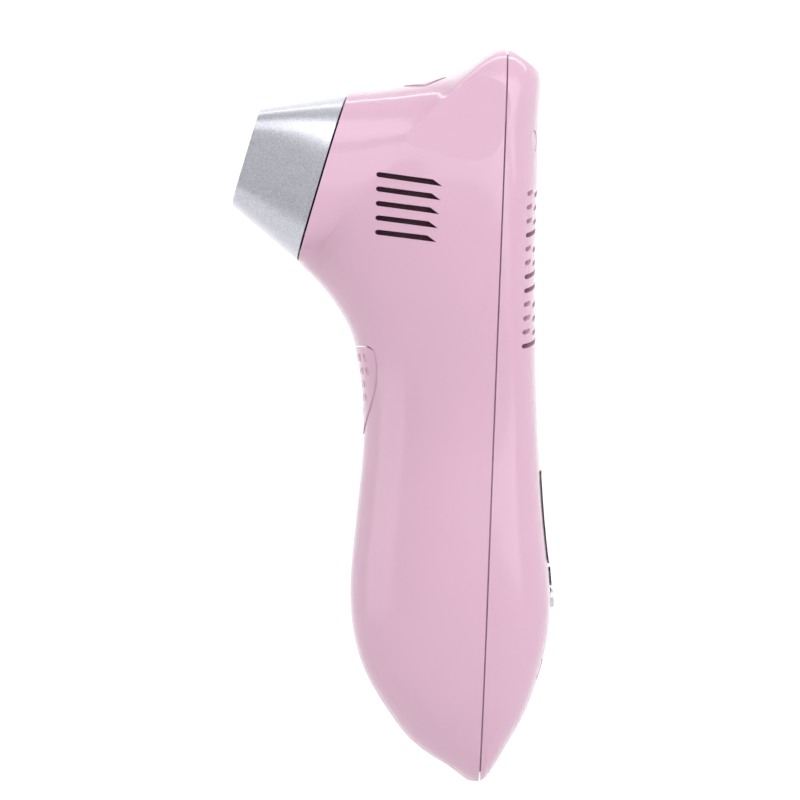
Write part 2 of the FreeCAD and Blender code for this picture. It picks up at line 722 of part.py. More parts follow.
def lamp_head():
    """The silver tapering shroud with its flat mouth."""
    start = size("head_joint_gap")
    end = start + size("head_length")
    wall = size("head_wall")
    shroud = head_form(start, end)
    hollow = head_form(start - 0.5, end + 0.5, wall)
    lip = placed(drawn_up(rounded(31.9, 19.9, 3.0), 60), HEAD)
    front_plate = head_form(end - 1.2, end - 0.15, wall - 0.6).cut(lip)
    shroud = shroud.cut(hollow).fuse(front_plate)
    return keep_shape("head_shroud", shroud)


def window_bezel():
    """The white frame that holds the filter window just inside the mouth."""
    top = size("head_joint_gap") + size("head_length") - 1.3
    depth = size("bezel_depth")
    outer = drawn_up(rounded(size("bezel_width"), size("bezel_height"), 5.4, z=top - depth), depth)
    nose = drawn_up(rounded(31.3, 19.3, 2.8, z=top - 0.1), 1.0)
    width, height = size("window_width"), size("window_height")
    hole = drawn_up(rounded(width - 2.0, height - 2.0, 1.2, z=top - 10), 20)
    seat = drawn_up(rounded(width + 0.2, height + 0.2, 1.5, z=top - 10), 10 - 0.6)
    return keep_shape("window_bezel", outer.fuse(nose).cut([hole, seat]), HEAD)


def filter_window():
    """The flat filter glass."""
    top = size("head_joint_gap") + size("head_length") - 1.3 - 0.7
    thickness = size("window_thickness")
    face = rounded(size("window_width"), size("window_height"), 1.4, z=top - thickness)
    return keep_shape("filter_window", drawn_up(face, thickness), HEAD)


LAMP_HEIGHT = 7.6


def lamp_parts():
    """The flash lamp, its two ceramic holders and the bright trough behind it."""
    length = size("lamp_length")
    radius = size("lamp_radius")
    tube = Part.makeCylinder(radius, length, Vector(-length / 2, 0, LAMP_HEIGHT), Vector(1, 0, 0))
    bore = Part.makeCylinder(radius - 0.6, length - 4,
                             Vector(2 - length / 2, 0, LAMP_HEIGHT), Vector(1, 0, 0))
    keep_shape("flash_lamp", tube.cut(bore), HEAD)
    width, side = size("holder_width"), size("holder_side")
    holders = []
    for start in (-length / 2 - 0.4, length / 2 - width + 0.4):
        block = Part.makeBox(width, side, side, Vector(start, -side / 2, 4.15))
        hole = Part.makeCylinder(radius + 0.05, length + 2,
                                 Vector(-length / 2 - 1, 0, LAMP_HEIGHT), Vector(1, 0, 0))
        holders.append(block.cut(hole))
    keep_shape("lamp_holders", Part.makeCompound(holders), HEAD)
    trough_length = length - 2 * width - 0.6
    arc = Part.Arc(Vector(0, -5.8, 14.0), Vector(0, 0, 4.2), Vector(0, 5.8, 14.0)).toShape()
    inner = Part.Arc(Vector(0, -5.3, 14.0), Vector(0, 0, 4.7), Vector(0, 5.3, 14.0)).toShape()
    rims = [Part.makeLine(Vector(0, -5.8, 14.0), Vector(0, -5.3, 14.0)),
            Part.makeLine(Vector(0, 5.3, 14.0), Vector(0, 5.8, 14.0))]
    trough = Part.Face(Part.Wire([arc, rims[1], inner, rims[0]]))
    trough = trough.extrude(Vector(trough_length, 0, 0))
    trough.translate(Vector(-trough_length / 2, 0, 0))
    keep_shape("reflector", trough, HEAD)


def cartridge_body():
    """The plastic plug that carries the lamp and slides into the housing."""
    depth = size("cartridge_depth")
    wall = size("cartridge_wall")
    piece = Piece("cartridge_body")
    piece.pad([("rectangle", 0, 0, "cartridge_width", "cartridge_height")],
              "0 - cartridge_depth + 2.6", "cartridge_depth")
    piece.round_uprights(4.0)
    piece.pocket([("rectangle", 0, 0, "cartridge_width - 2 * cartridge_wall",
                   "cartridge_height - 2 * cartridge_wall")], 2.6, "cartridge_depth - 3.2")
    piece.pocket([("rectangle", 0, 13.9, 9.0, 3.6)], "0 - 6.4", 2.6)
    for x in (-8.0, 0.0, 8.0):
        piece.pocket([("circle", x, 0, "contact_radius + 0.05")], 2.6, "cartridge_depth + 1")
    return piece.place(HEAD)


def lamp_bridge():
    """The cross plate in the cartridge that the holders and the trough stand on."""
    plate = Part.makeBox(60, 60, 1.4, Vector(-30, -30, 2.7))
    plate = placed(plate, HEAD).common(head_form(1.0, 8.0, size("head_wall") + 0.3))
    hole = placed(Part.makeBox(20, 8.0, 4, Vector(-10, -4.0, 1.7)), HEAD)
    return keep_shape("lamp_bridge", plate.cut(hole))


def contact_pins():
    """The three brass pins at the back of the cartridge."""
    start = 2.6 - size("cartridge_depth")
    pins = []
    for x in (-8.0, 0.0, 8.0):
        pin = Part.makeCylinder(size("contact_radius"), size("contact_length"),
                                Vector(x, 0, start - size("contact_length") + 2.4))
        ball = Part.makeSphere(size("contact_radius"),
                               Vector(x, 0, start - size("contact_length") + 2.4))
        pins.append(pin.fuse(ball).removeSplitter())
    return keep_shape("cartridge_pins", Part.makeCompound(pins), HEAD)


# ---------------------------------------------------------------- head seat and contacts, in the housing

SEAT_SCREWS = [(20.7, 0.0), (-20.7, 0.0)]


def head_seat():
    """The inner frame that guides the cartridge and closes the gap round it."""
    gap = size("guide_clearance")
    wall = size("guide_wall")
    width = size("cartridge_width") + 2 * gap
    height = size("cartridge_height") + 2 * gap
    plate = placed(Part.makeBox(60, 60, 1.6, Vector(-30, -30, -2.6)), HEAD)
    plate = plate.common(form(size("wall_thickness") + 0.15))
    guide = drawn_up(rounded(width + 2 * wall, height + 2 * wall, 5.6, z=-12.6), 11.0)
    guide = placed(guide, HEAD)
    hole = placed(drawn_up(rounded(width, height, 4.2, z=-30), 60), HEAD)
    latch_way = placed(Part.makeBox(10.4, 8, 6.4, Vector(-5.2, 12, -11.4)), HEAD)
    screw_holes = []
    for x, y in SEAT_SCREWS:
        radius = size("small_screw_radius") + 0.05
        screw_holes.append(placed(Part.makeCylinder(radius, 6, Vector(x, y, -5)), HEAD))
    seat = plate.fuse(guide).cut([hole, latch_way] + screw_holes)
    return keep_shape("head_seat", seat.removeSplitter())


def seat_brackets():
    """The two metal plates behind the head seat and the screws that draw it to them."""
    fixings = []
    radius = size("small_screw_radius")
    for x, y in SEAT_SCREWS:
        plate = Part.makeBox(2.8, 8, 1.0, Vector(x - 1.45, y - 4, -3.65))
        hole = Part.makeCylinder(radius + 0.05, 4, Vector(x, y, -5))
        shank = Part.makeCylinder(radius, 3.6, Vector(x, y, -4.3))
        head = Part.makeCylinder(1.4, 0.7, Vector(x, y, -0.97))
        fixings += [plate.cut(hole), shank.fuse(head)]
    return keep_shape("seat_nut_plates", Part.makeCompound(fixings), HEAD)


def contact_socket():
    """The black block with three bores that the cartridge's pins plug into."""
    piece = Piece("contact_socket")
    piece.pad([("rectangle", 0, 0, "socket_width", "socket_height")],
              "0 - 12.8 - socket_depth", "socket_depth")
    piece.round_uprights(2.0)
    bores = [("circle", x, 0, "contact_radius + contact_clearance") for x in (-8.0, 0.0, 8.0)]
    piece.pocket(bores, "0 - 12.8", "socket_depth - 2.2")
    piece.pocket([("rectangle", 0, 6.4, 20.0, 2.0), ("rectangle", 0, -6.4, 20.0, 2.0)],
                 "0 - 12.8", "socket_depth + 2")
    return piece.place(HEAD)


def socket_clips():
    """The two spring clips that hold the contact socket to the sides of the guide."""
    clips = []
    for side in (-1, 1):
        near, far = sorted((side * 19.05, side * 19.75))
        arm = Part.makeBox(far - near, 5.0, 17.6, Vector(near, -9.5, -22.4))
        near, far = sorted((side * 14.5, side * 19.75))
        hook = Part.makeBox(far - near, 5.0, 0.6, Vector(near, -9.5, -22.5))
        clips.append(arm.fuse(hook).removeSplitter())
    return keep_shape("socket_clips", Part.makeCompound(clips), HEAD)


def socket_springs():
    """The three bent contact strips at the back of the socket's bores."""
    strips = []
    for x in (-8.0, 0.0, 8.0):
        foot = Part.makeBox(2.4, 5.0, 0.4, Vector(x - 1.2, -2.5, -22.3))
        tail = Part.makeBox(1.4, 0.5, 3.0, Vector(x - 0.7, 1.8, -25.2))
        strips.append(foot.fuse(tail).removeSplitter())
    return keep_shape("socket_terminals", Part.makeCompound(strips), HEAD)


# ---------------------------------------------------------------- release button and trigger

def release_button():
    """The dimpled lens-shaped button on top, with the flange that keeps it in."""
    skin = form(-0.45).cut(form(2.7)).common(release_prism(0.0, 172, 190))
    flange = form(2.7).cut(form(3.9)).common(release_prism(1.1, 171, 186))
    core = form(2.2).cut(form(3.0)).common(release_prism(-0.6, 171, 188))
    button = skin.fuse([core, flange]).removeSplitter()
    places = []
    for row, y in enumerate((0.0, 2.95, 5.9, 8.85)):
        for x in ((-24.2, -20.8, -17.4), (-22.5, -19.1))[row % 2]:
            for side in ((1,) if y == 0 else (1, -1)):
                places.append(Vector(x, side * y, 200))
    field = release_prism(-1.35, 160, 210)
    places = [place for place in places if field.isInside(Vector(place.x, place.y, 185), 0.01, True)]
    button = button.cut(dimples(button, places, Vector(0, 0, -1), 1.3, 0.75))
    post = Part.makeCylinder(1.3, 8.8, Vector(-20.9, 0, 169.9))
    return keep_shape("release_button", button.fuse(post).removeSplitter())


def latch_arm():
    """The steel strip under the release button whose tooth reaches over the cartridge's notch."""
    width = 7.0
    top = [Vector(-24.4, 0, 174.4), Vector(-33.4, 0, 172.6), Vector(-35.5, 0, 169.9),
           Vector(-36.4, 0, 170.2), Vector(-34.1, 0, 173.4), Vector(-24.5, 0, 175.3)]
    face = Part.Face(Part.makePolygon(top + top[:1]))
    face.translate(Vector(0, -width / 2, 0))
    arm = face.extrude(Vector(0, width, 0))
    pad = slab((-24.8, -width / 2, 174.4), (-23.0, width / 2, 175.3))
    ring = Part.makeCylinder(3.0, 0.9, Vector(-20.9, 0, 174.4))
    bridge = slab((-24.4, -2.0, 174.4), (-20.9, 2.0, 175.3))
    hole = Part.makeCylinder(1.35, 3, Vector(-20.9, 0, 173.4))
    latch = arm.multiFuse([pad, ring, bridge]).cut([hole, form(3.9).cut(form(4.0))])
    return keep_shape("latch_arm", latch.removeSplitter())


def release_spring():
    """The coil spring between the release button and the cross bar."""
    return keep_shape("release_spring", spring((-20.9, 0, 168.75), (0, 0, 1), 2.2, 0.3, 5.3, 4))


def trigger():
    """The dimpled shield-shaped trigger with its inner flange and its push stem."""
    skin = form(-0.25).cut(form(2.7)).common(trigger_prism(0.0, -40, -22))
    flange = form(2.7).cut(form(3.9)).common(trigger_prism(1.3, -40, -22))
    core = form(2.2).cut(form(3.0)).common(trigger_prism(-0.6, -40, -22))
    lever = skin.fuse([core, flange]).removeSplitter()
    places = []
    field = placed(drawn_up(trigger_outline(-1.9), 60), turned(Vector(-60, 0, 0), Vector(1, 0, 0),
                                                             Vector(0, 0, 1)))
    for row in range(6):
        for column_number in range(-3, 4):
            place = Vector(-50, 3.4 * column_number, 108.5 - 3.35 * row)
            if field.isInside(place, 0.01, True):
                places.append(place)
    lever = lever.cut(dimples(lever, places, Vector(1, 0, 0), 1.3, 0.75))
    stem = column(1.8, (-30.6, 0, 101.5), (1, 0, 0), 3.5)
    return keep_shape("trigger", lever.fuse(stem).removeSplitter())


TRIGGER_BOARD = (-21.3, -19.9)


def trigger_board():
    """The small board across the grip that carries the trigger's switch."""
    front, back = TRIGGER_BOARD
    board = slab((front, -25, 93.5), (back, 25, 111.5)).common(form(size("wall_thickness") + 0.3))
    holes = [column(size("small_screw_radius") + 0.1, (front - 1, y, z), (1, 0, 0), 4)
             for y, z in TRIGGER_BOARD_SCREWS]
    keep_shape("trigger_board", board.cut(holes))
    places = [(-y, z, -(back + 1.5)) for y, z in TRIGGER_BOARD_SCREWS]
    return screws("trigger_board_screws", places, FORWARD,
                  "small_screw_radius", "small_screw_head_radius", 3.4)


def trigger_switch():
    """The little switch behind the trigger and its four legs."""
    piece = Piece("trigger_switch")
    piece.pad([("rectangle", 0, 0, 6.2, 6.2)], 0, 3.4)
    piece.pad([("circle", 0, 0, 1.7)], 3.4, 1.0)
    frame = turned(Vector(TRIGGER_BOARD[0] - 0.05, 0, 101.5), Vector(-1, 0, 0), Vector(0, 0, 1))
    return piece.place(frame)


def trigger_springs():
    """The pair of coil springs that push the trigger out."""
    coils = [spring((TRIGGER_BOARD[0] - 0.3, y, 105.0), (-1, 0, 0), 1.9, 0.2, 5.2, 5)
             for y in (8.0, -8.0)]
    return keep_shape("trigger_springs", Part.makeCompound(coils))


# ---------------------------------------------------------------- back panel: display and keys

def display_lens():
    """The raised glossy lens over the display."""
    outside = panel_prism(low=-8, **LENS)
    skin = form(-0.4).cut(form(1.05)).common(outside)
    return keep_shape("display_lens", skin.removeSplitter())


def level_button():
    """The long key under the display."""
    shape = form(-0.45).cut(form(1.6)).common(panel_prism(margin=0.0, low=-4, **LEVEL_KEY))
    width, height = LEVEL_KEY["width"], LEVEL_KEY["height"]
    flange = rounded(width + 2.0, height - 0.2, 2.0, 0.0, LEVEL_KEY["y"], -3.9)
    flange = placed(drawn_up(flange, 0.8), PANEL)
    core = rounded(width - 1.0, height - 1.0, 1.6, 0.0, LEVEL_KEY["y"], -3.8)
    core = placed(drawn_up(core, 3.0), PANEL)
    stem = placed(Part.makeCylinder(1.2, 1.0, Vector(0, LEVEL_KEY["y"], -4.4)), PANEL)
    return keep_shape("level_button", shape.multiFuse([core, flange, stem]).removeSplitter())


def power_button():
    """The round silver-rimmed key below it."""
    piece = Piece("power_button")
    piece.pad([("circle", 0, 0, 2.6)], -3.8, 4.7)
    piece.round_rim(0.9, 0.45)
    piece.pad([("circle", 0, 0, 3.3)], -3.9, 0.8)
    piece.pad([("circle", 0, 0, 1.2)], -4.4, 0.6)
    piece.pocket([("circle", 0, 0, 1.7)], 0.9, 0.5)
    frame = PANEL.multiply(Placement(Vector(0, POWER_KEY_HEIGHT, 0), Rotation()))
    return piece.place(frame)


def power_button_insert():
    """The dark disc set in the power key's rim."""
    disc = Part.makeCylinder(1.65, 0.4, Vector(0, POWER_KEY_HEIGHT, 0.42))
    return keep_shape("power_button_disc", disc, PANEL)


def display_parts():
    """The display module, its board, the two key domes and the board's screws."""
    board = Piece("display_board")
    board.pad([("rectangle", 0, -0.4, "display_board_width", "display_board_height")], -6.9, 1.2)
    board.round_uprights(1.5)
    for x, y in DISPLAY_POSTS:
        board.pocket([("circle", x, y, "small_screw_radius + 0.1")], -5.7, 3.0)
    board.place(PANEL)
    module = Piece("display_module")
    module.pad([("rectangle", 0, 7.4, "display_width", "display_height")], -5.6,
               "display_thickness - 0.6")
    module.pad([("rectangle", 0, 7.9, "display_width - 1.6", "display_height - 3")],
               "0 - 6.2 + display_thickness", 0.5)
    module.place(PANEL)
    domes = []
    for y in (LEVEL_KEY["y"], POWER_KEY_HEIGHT):
        ball = Part.makeSphere(5.0, Vector(0, y, -10.05))
        domes.append(ball.common(Part.makeBox(8, 8, 3, Vector(-4, y - 4, -5.65))))
    keep_shape("key_domes", Part.makeCompound(domes), PANEL)
    places = [(x, y, -8.5) for x, y in DISPLAY_POSTS]
    screws("display_screws", places, PANEL, "small_screw_radius", "small_screw_head_radius", 3.4)


# ---------------------------------------------------------------- power electronics

def main_board():
    """The main circuit board, upright behind the middle of the grip."""
    piece = Piece("main_board")
    piece.pad([("rectangle", 0, 70.0, "main_board_width", "main_board_height")], 1.85,
              "board_thickness")
    piece.round_uprights(2.0)
    for y, z in BOARD_POSTS:
        piece.pocket([("circle", y, z, "small_screw_radius + 0.1")], 3.45, 3.0)
    piece.place(FORWARD)
    places = [(y, z, -5.0) for y, z in BOARD_POSTS]
    return screws("board_screws", places, BACKWARD,
                  "small_screw_radius", "small_screw_head_radius", 5.0)


def capacitor():
    """The sleeved flash capacitor, its two legs and the saddle that it lies in."""
    radius = size("capacitor_radius")
    length = size("capacitor_length")
    foot = Vector(-15.4, 0, 44.0)
    can = Part.makeCylinder(radius, length, foot)
    rims = [edge for edge in can.Edges if edge.Length > 10 and edge.isClosed()]
    can = can.makeFillet(1.2, rims)
    groove = Part.makeTorus(radius + 0.1, 0.8, foot + Vector(0, 0, 4.0))
    vent = Part.makeBox(10, 0.6, 0.4, foot + Vector(-5, -0.3, length - 0.4))
    keep_shape("flash_capacitor", can.cut([groove, vent]))
    block = slab((-9.5, -8.0, 52.0), (-3.5, 8.0, 82.0))
    saddle = block.cut(Part.makeCylinder(radius + 0.05, 60, foot - Vector(0, 0, 5)))
    keep_shape("capacitor_saddle", saddle)
    legs = []
    for y in (-3.6, 3.6):
        leg = Part.makeCylinder(0.5, 3.0, foot + Vector(0, y, -3.0))
        reach = column(0.5, (-15.4, y, 41.4), (1, 0, 0), 11.8)
        legs.append(leg.fuse(reach).removeSplitter())
    return keep_shape("capacitor_legs", Part.makeCompound(legs))


def transformer():
    """The trigger transformer: a ferrite core with a wound coil on its middle leg."""
    centre = Vector(-9.2, 0, 97.6)
    core = Part.makeBox(9.6, 17.0, 11.4, centre + Vector(-4.8, -8.5, -5.7))
    windows = [Part.makeBox(20, 3.0, 7.0, centre + Vector(-10, 2.9, -3.5)),
               Part.makeBox(20, 3.0, 7.0, centre + Vector(-10, -5.9, -3.5))]
    keep_shape("transformer_core", core.cut(windows))
    outer = Part.makeBox(11.2, 11.4, 6.6, centre + Vector(-5.6, -5.7, -3.3))
    inner = Part.makeBox(9.8, 5.8, 8.0, centre + Vector(-4.9, -2.9, -4.0))
    return keep_shape("transformer_coil", outer.cut(inner))


def transistor():
    """The switching transistor and its finned aluminium cooler."""
    piece = Piece("switching_transistor")
    piece.pad([("rectangle", 0, 0, 10.0, 15.0)], 0, 1.3)
    piece.pad([("rectangle", 0, -3.0, 10.0, 9.0)], 1.3, 3.2)
    piece.pocket([("circle", 0, 5.0, 1.7)], 1.3, 3.0)
    piece.place(turned(Vector(-8.6, -15.9, 60.0), Vector(0, 1, 0), Vector(0, 0, 1)))
    cooler = Piece("transistor_cooler")
    cooler.pad([("rectangle", 0, 0, 10.4, 24.0)], 0, 1.2)
    for x in (-4.7, -2.35, 0.0, 2.35, 4.7):
        cooler.pad([("rectangle", x, 0, 0.9, 24.0)], 0, 1.9)
    cooler.place(turned(Vector(-9.0, -16.0, 58.0), Vector(0, -1, 0), Vector(0, 0, 1)))


def small_parts():
    """Control chips and wire headers on the main board."""
    chips = [slab((-1.8, -10, 62), (-0.5, -3, 69)), slab((-1.8, 2, 74), (-0.6, 9, 79)),
             slab((-1.8, -6, 84), (-0.4, 4, 92)), slab((-1.8, 3, 50), (-0.7, 7, 56))]
    keep_shape("control_chips", Part.makeCompound(chips))
    header = Piece("wire_headers")
    header.pad([("rectangle", 11.4, 48.0, 5.0, 7.5)], 3.5, 5.0)
    header.pad([("rectangle", 11.4, 91.0, 5.0, 7.5)], 3.5, 5.0)
    header.body.Tip.Refine = True
    for z in (48.0, 91.0):
        header.pocket([("rectangle", 11.4, z, 3.6, 6.1)], 8.5, 4.0)
    header.place(FORWARD)


# ---------------------------------------------------------------- fan

def fan():
    """The square axial fan: frame, coil, magnet ring, bladed rotor and its screws."""
    frame = Piece("fan_frame")
    frame.pad([("rectangle", 0, 0, "fan_side", "fan_side")], 0, "fan_depth")
    frame.round_uprights(2.5)
    frame.pocket([("circle", 0, 0, "fan_bore_radius")], "fan_depth", "fan_depth + 1")
    for x in (-14.5, 14.5):
        for y in (-14.5, 14.5):
            frame.pocket([("circle", x, y, "small_screw_radius + 0.2")],
                         "fan_depth", "fan_depth + 1")
    frame.pad([("rectangle", 0, 0, "2 * fan_bore_radius + 2", 2.0)], 0, 1.1)
    frame.pad([("rectangle", 0, 0, 2.0, "2 * fan_bore_radius + 2")], 0, 1.1)
    frame.pad([("circle", 0, 0, "fan_hub_radius")], 0, 1.1)
    frame.pad([("circle", 0, 0, "fan_bearing_radius")], 1.1, 6.0)
    frame.pocket([("circle", 0, 0, "fan_shaft_radius + 0.3")], 7.1, 6.0)
    frame.place(FAN)
    depth = size("fan_depth")
    hub = size("fan_hub_radius")
    coil = Part.makeCylinder(5.0, 3.4, Vector(0, 0, 1.4))
    coil = coil.cut(Part.makeCylinder(size("fan_bearing_radius") + 0.02, 6, Vector(0, 0, 0)))
    slots = []
    for number in range(4):
        slot = Part.makeBox(3.0, 1.0, 6, Vector(3.0, -0.5, 0))
        slot.rotate(Vector(), Vector(0, 0, 1), 45 + 90 * number)
        slots.append(slot)
    keep_shape("fan_coil", coil.cut(slots), FAN)
    magnet = Part.makeCylinder(hub - 0.9, 5.0, Vector(0, 0, 1.8))
    magnet = magnet.cut(Part.makeCylinder(hub - 1.9, 5.0, Vector(0, 0, 1.8)))
    keep_shape("fan_magnet", magnet, FAN)
    cup = Part.makeCylinder(hub, depth - 2.2, Vector(0, 0, 1.7))
    cup = cup.cut(Part.makeCylinder(hub - 0.85, depth - 3.4, Vector(0, 0, 1.7)))
    shaft = Part.makeCylinder(size("fan_shaft_radius"), depth - 3.0, Vector(0, 0, 1.6))
    blades = []
    for number in range(7):
        blades.append(fan_blade(number))
    rotor = cup.multiFuse([shaft] + blades)
    keep_shape("fan_rotor", rotor.removeSplitter(), FAN)
    places = [(y, z, -7.6) for y, z in FAN_HOLES]
    screws("fan_screws", places, BACKWARD, "small_screw_radius", "small_screw_head_radius", 11.0)


def fan_blade(number):
    """One pitched blade of the fan's rotor."""
    hub = size("fan_hub_radius")
    tip = size("fan_blade_radius")
    outlines = []
    for radius, half in ((hub - 0.5, 2.4), ((hub + tip) / 2, 3.3), (tip - 0.4, 3.7)):
        corners = []
        for end, thick in ((1, 0.4), (-1, 0.4), (-1, -0.4), (1, -0.4)):
            corners.append(Vector(radius, end * half + thick, 5.4 + end * 2.9))
        outlines.append(Part.makePolygon(corners + corners[:1]))
    blade = Part.makeLoft(outlines, True, True)
    blade.rotate(Vector(), Vector(0, 0, 1), number * 360 / 7)
    return blade


def air_screens():
    """The fine screens behind the side slots and behind the grille."""
    layer = form(2.45).cut(form(2.95))
    for label, side in (("side_screen_left", -1), ("side_screen_right", 1)):
        low = min(side * 10, side * 40)
        window = slab((-33.5, low, 136.0), (-14.4, low + 30, 158.0))
        keep_shape(label, layer.common(window))
    grille = layer.common(slab((3.2, -21.2, 110.6), (20, 21.2, 156.6)))
    holes = [column(2.8, (0, y, z), (1, 0, 0), 20) for y, z in FAN_HOLES]
    keep_shape("rear_screen", grille.cut(holes))


# ---------------------------------------------------------------- charging inlet and wiring

def charging_inlet():
    """The round inlet with its centre pin and its side contact."""
    body = Piece("inlet_body")
    body.pad([("circle", 0, 0, "jack_radius")], 1.75, "jack_length")
    body.pad([("circle", 0, 0, 3.25)], 0.3, 1.5)
    body.pocket([("circle", 0, 0, "jack_bore_radius")], "0.3 + jack_bore_depth", "jack_bore_depth + 1")
    body.place(JACK)


def inlet_pin():
    """The inlet's round centre pin."""
    start = 0.3 + size("jack_bore_depth") - size("pin_length")
    pin = Part.makeCylinder(size("pin_radius"), size("pin_length"), Vector(0, 0, start))
    rim = [edge for edge in pin.Edges if edge.isClosed() and abs(edge.BoundBox.ZMax - start) < 1e-6]
    return keep_shape("inlet_pin", pin.makeFillet(0.3, rim), JACK)


def inlet_terminals():
    """The two solder tails at the inner end of the inlet."""
    tails = []
    for x in (-2.2, 2.2):
        tails.append(Part.makeBox(1.6, 0.4, 4.0, Vector(x - 0.8, -0.2, size("jack_length") + 1.8)))
    return keep_shape("inlet_terminals", Part.makeCompound(tails), JACK)


def wiring():
    """The leads between the inlet, the boards, the fan and the lamp's socket."""
    keep_shape("inlet_lead", lead([(1.6, 2.2, 16.4), (3.6, 3.0, 23.0), (3.8, 3.4, 32.0),
                                   (4.6, 5.0, 40.0), (5.0, 8.4, 45.0), (5.0, 10.0, 48.0)], 0.8))
    keep_shape("lamp_lead", lead([(-9.2, 4.0, 103.9), (-11.0, 4.6, 112.0), (-15.4, 7.2, 132.0),
                                  (-18.6, 8.0, 144.0), (-20.4, 8.0, 147.6)], 1.1))
    keep_shape("fan_lead", lead([(4.6, 6.4, 91.0), (4.9, 6.4, 97.0), (3.4, 7.4, 106.0),
                                 (2.6, 8.6, 114.8)], 0.7))
    keep_shape("trigger_lead", lead([(-19.2, -6.0, 96.0), (-17.6, -7.4, 99.0), (-9.0, -12.4, 99.4),
                                     (-4.4, -13.0, 96.0)], 0.6))


def write_all():
    """Checks every object and piece, then writes one file for each piece."""
    DOC.recompute()
    for item in DOC.Objects:
        if "Invalid" in item.State or "Error" in item.State:
            raise SystemExit("%s has state %s" % (item.Label, item.State))
    os.makedirs("parts", exist_ok=True)
    for item in PIECES:
        shape = item.Shape
        if shape.isNull() or not shape.isValid() or not shape.Solids:
            raise SystemExit("%s is not a valid solid" % item.Label)
        shape.exportStep("parts/%s.step" % item.Label)
        box = shape.BoundBox
        print("%-22s solids %2d volume %9.1f  x %7.2f %7.2f  y %7.2f %7.2f  z %7.2f %7.2f" % (
            item.Label, len(shape.Solids), shape.Volume, box.XMin, box.XMax,
            box.YMin, box.YMax, box.ZMin, box.ZMax))


front_shell()
rear_shell()
shell_screws()
lamp_head()
window_bezel()
filter_window()
lamp_parts()
cartridge_body()
lamp_bridge()
contact_pins()
head_seat()
seat_brackets()
contact_socket()
socket_clips()
socket_springs()
release_button()
latch_arm()
release_spring()
trigger()
trigger_board()
trigger_switch()
trigger_springs()
display_lens()
level_button()
power_button()
power_button_insert()
display_parts()
main_board()
capacitor()
transformer()
transistor()
small_parts()
fan()
air_screens()
charging_inlet()
inlet_pin()
inlet_terminals()
wiring()
write_all()
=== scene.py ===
"""Looks of a pulsed light hair removal handset: finishes, small details, light and camera."""

from __future__ import annotations

import json
import logging
import math
from dataclasses import dataclass, field
from enum import Enum

import bmesh
import bpy
from mathutils import Matrix, Vector
from mathutils.bvhtree import BVHTree


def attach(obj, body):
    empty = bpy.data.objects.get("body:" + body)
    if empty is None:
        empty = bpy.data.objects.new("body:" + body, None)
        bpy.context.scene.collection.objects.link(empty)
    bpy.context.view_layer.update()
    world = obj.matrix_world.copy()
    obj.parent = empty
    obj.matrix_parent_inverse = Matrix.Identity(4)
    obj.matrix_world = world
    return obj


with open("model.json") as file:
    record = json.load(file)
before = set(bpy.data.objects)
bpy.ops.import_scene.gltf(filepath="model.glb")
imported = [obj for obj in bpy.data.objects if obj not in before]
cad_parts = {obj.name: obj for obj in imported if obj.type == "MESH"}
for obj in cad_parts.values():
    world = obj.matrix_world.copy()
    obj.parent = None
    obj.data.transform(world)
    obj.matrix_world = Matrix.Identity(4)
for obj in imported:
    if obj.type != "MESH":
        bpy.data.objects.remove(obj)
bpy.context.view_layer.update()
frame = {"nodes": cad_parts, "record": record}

logging.basicConfig(level=logging.INFO, format="%(message)s")
LOG = logging.getLogger("handset")

MM = 0.001
COLOUR_STEPS = 255
PANEL_TILT = math.radians(6.6)
PANEL_CENTRE = Vector((0.04105, 0.0, -0.033))
ROW_SHIFT = Vector((26.0, 0.0, -95.0))  # from the drawing's zero to the frame's, in mm

Colour = tuple[float, float, float]


class Body(Enum):
    """The moving groups that the added pieces ride on."""

    HOUSING = "housing"


# ---------------------------------------------------------------- shader maths


class Value:
    """A shader socket that can be used in plain arithmetic."""

    def __init__(self, graph: Graph, socket: bpy.types.NodeSocket) -> None:
        """Wraps a socket.

        Args:
            graph: The graph that the socket belongs to.
            socket: The output socket.
        """
        self.graph = graph
        self.socket = socket

    def __add__(self, other: Value | float) -> Value:
        """Adds."""
        return self.graph.maths("ADD", self, other)

    def __radd__(self, other: float) -> Value:
        """Adds, number first."""
        return self.graph.maths("ADD", other, self)

    def __sub__(self, other: Value | float) -> Value:
        """Subtracts."""
        return self.graph.maths("SUBTRACT", self, other)

    def __rsub__(self, other: float) -> Value:
        """Subtracts from a number."""
        return self.graph.maths("SUBTRACT", other, self)

    def __mul__(self, other: Value | float) -> Value:
        """Multiplies."""
        return self.graph.maths("MULTIPLY", self, other)

    def __rmul__(self, other: float) -> Value:
        """Multiplies, number first."""
        return self.graph.maths("MULTIPLY", other, self)


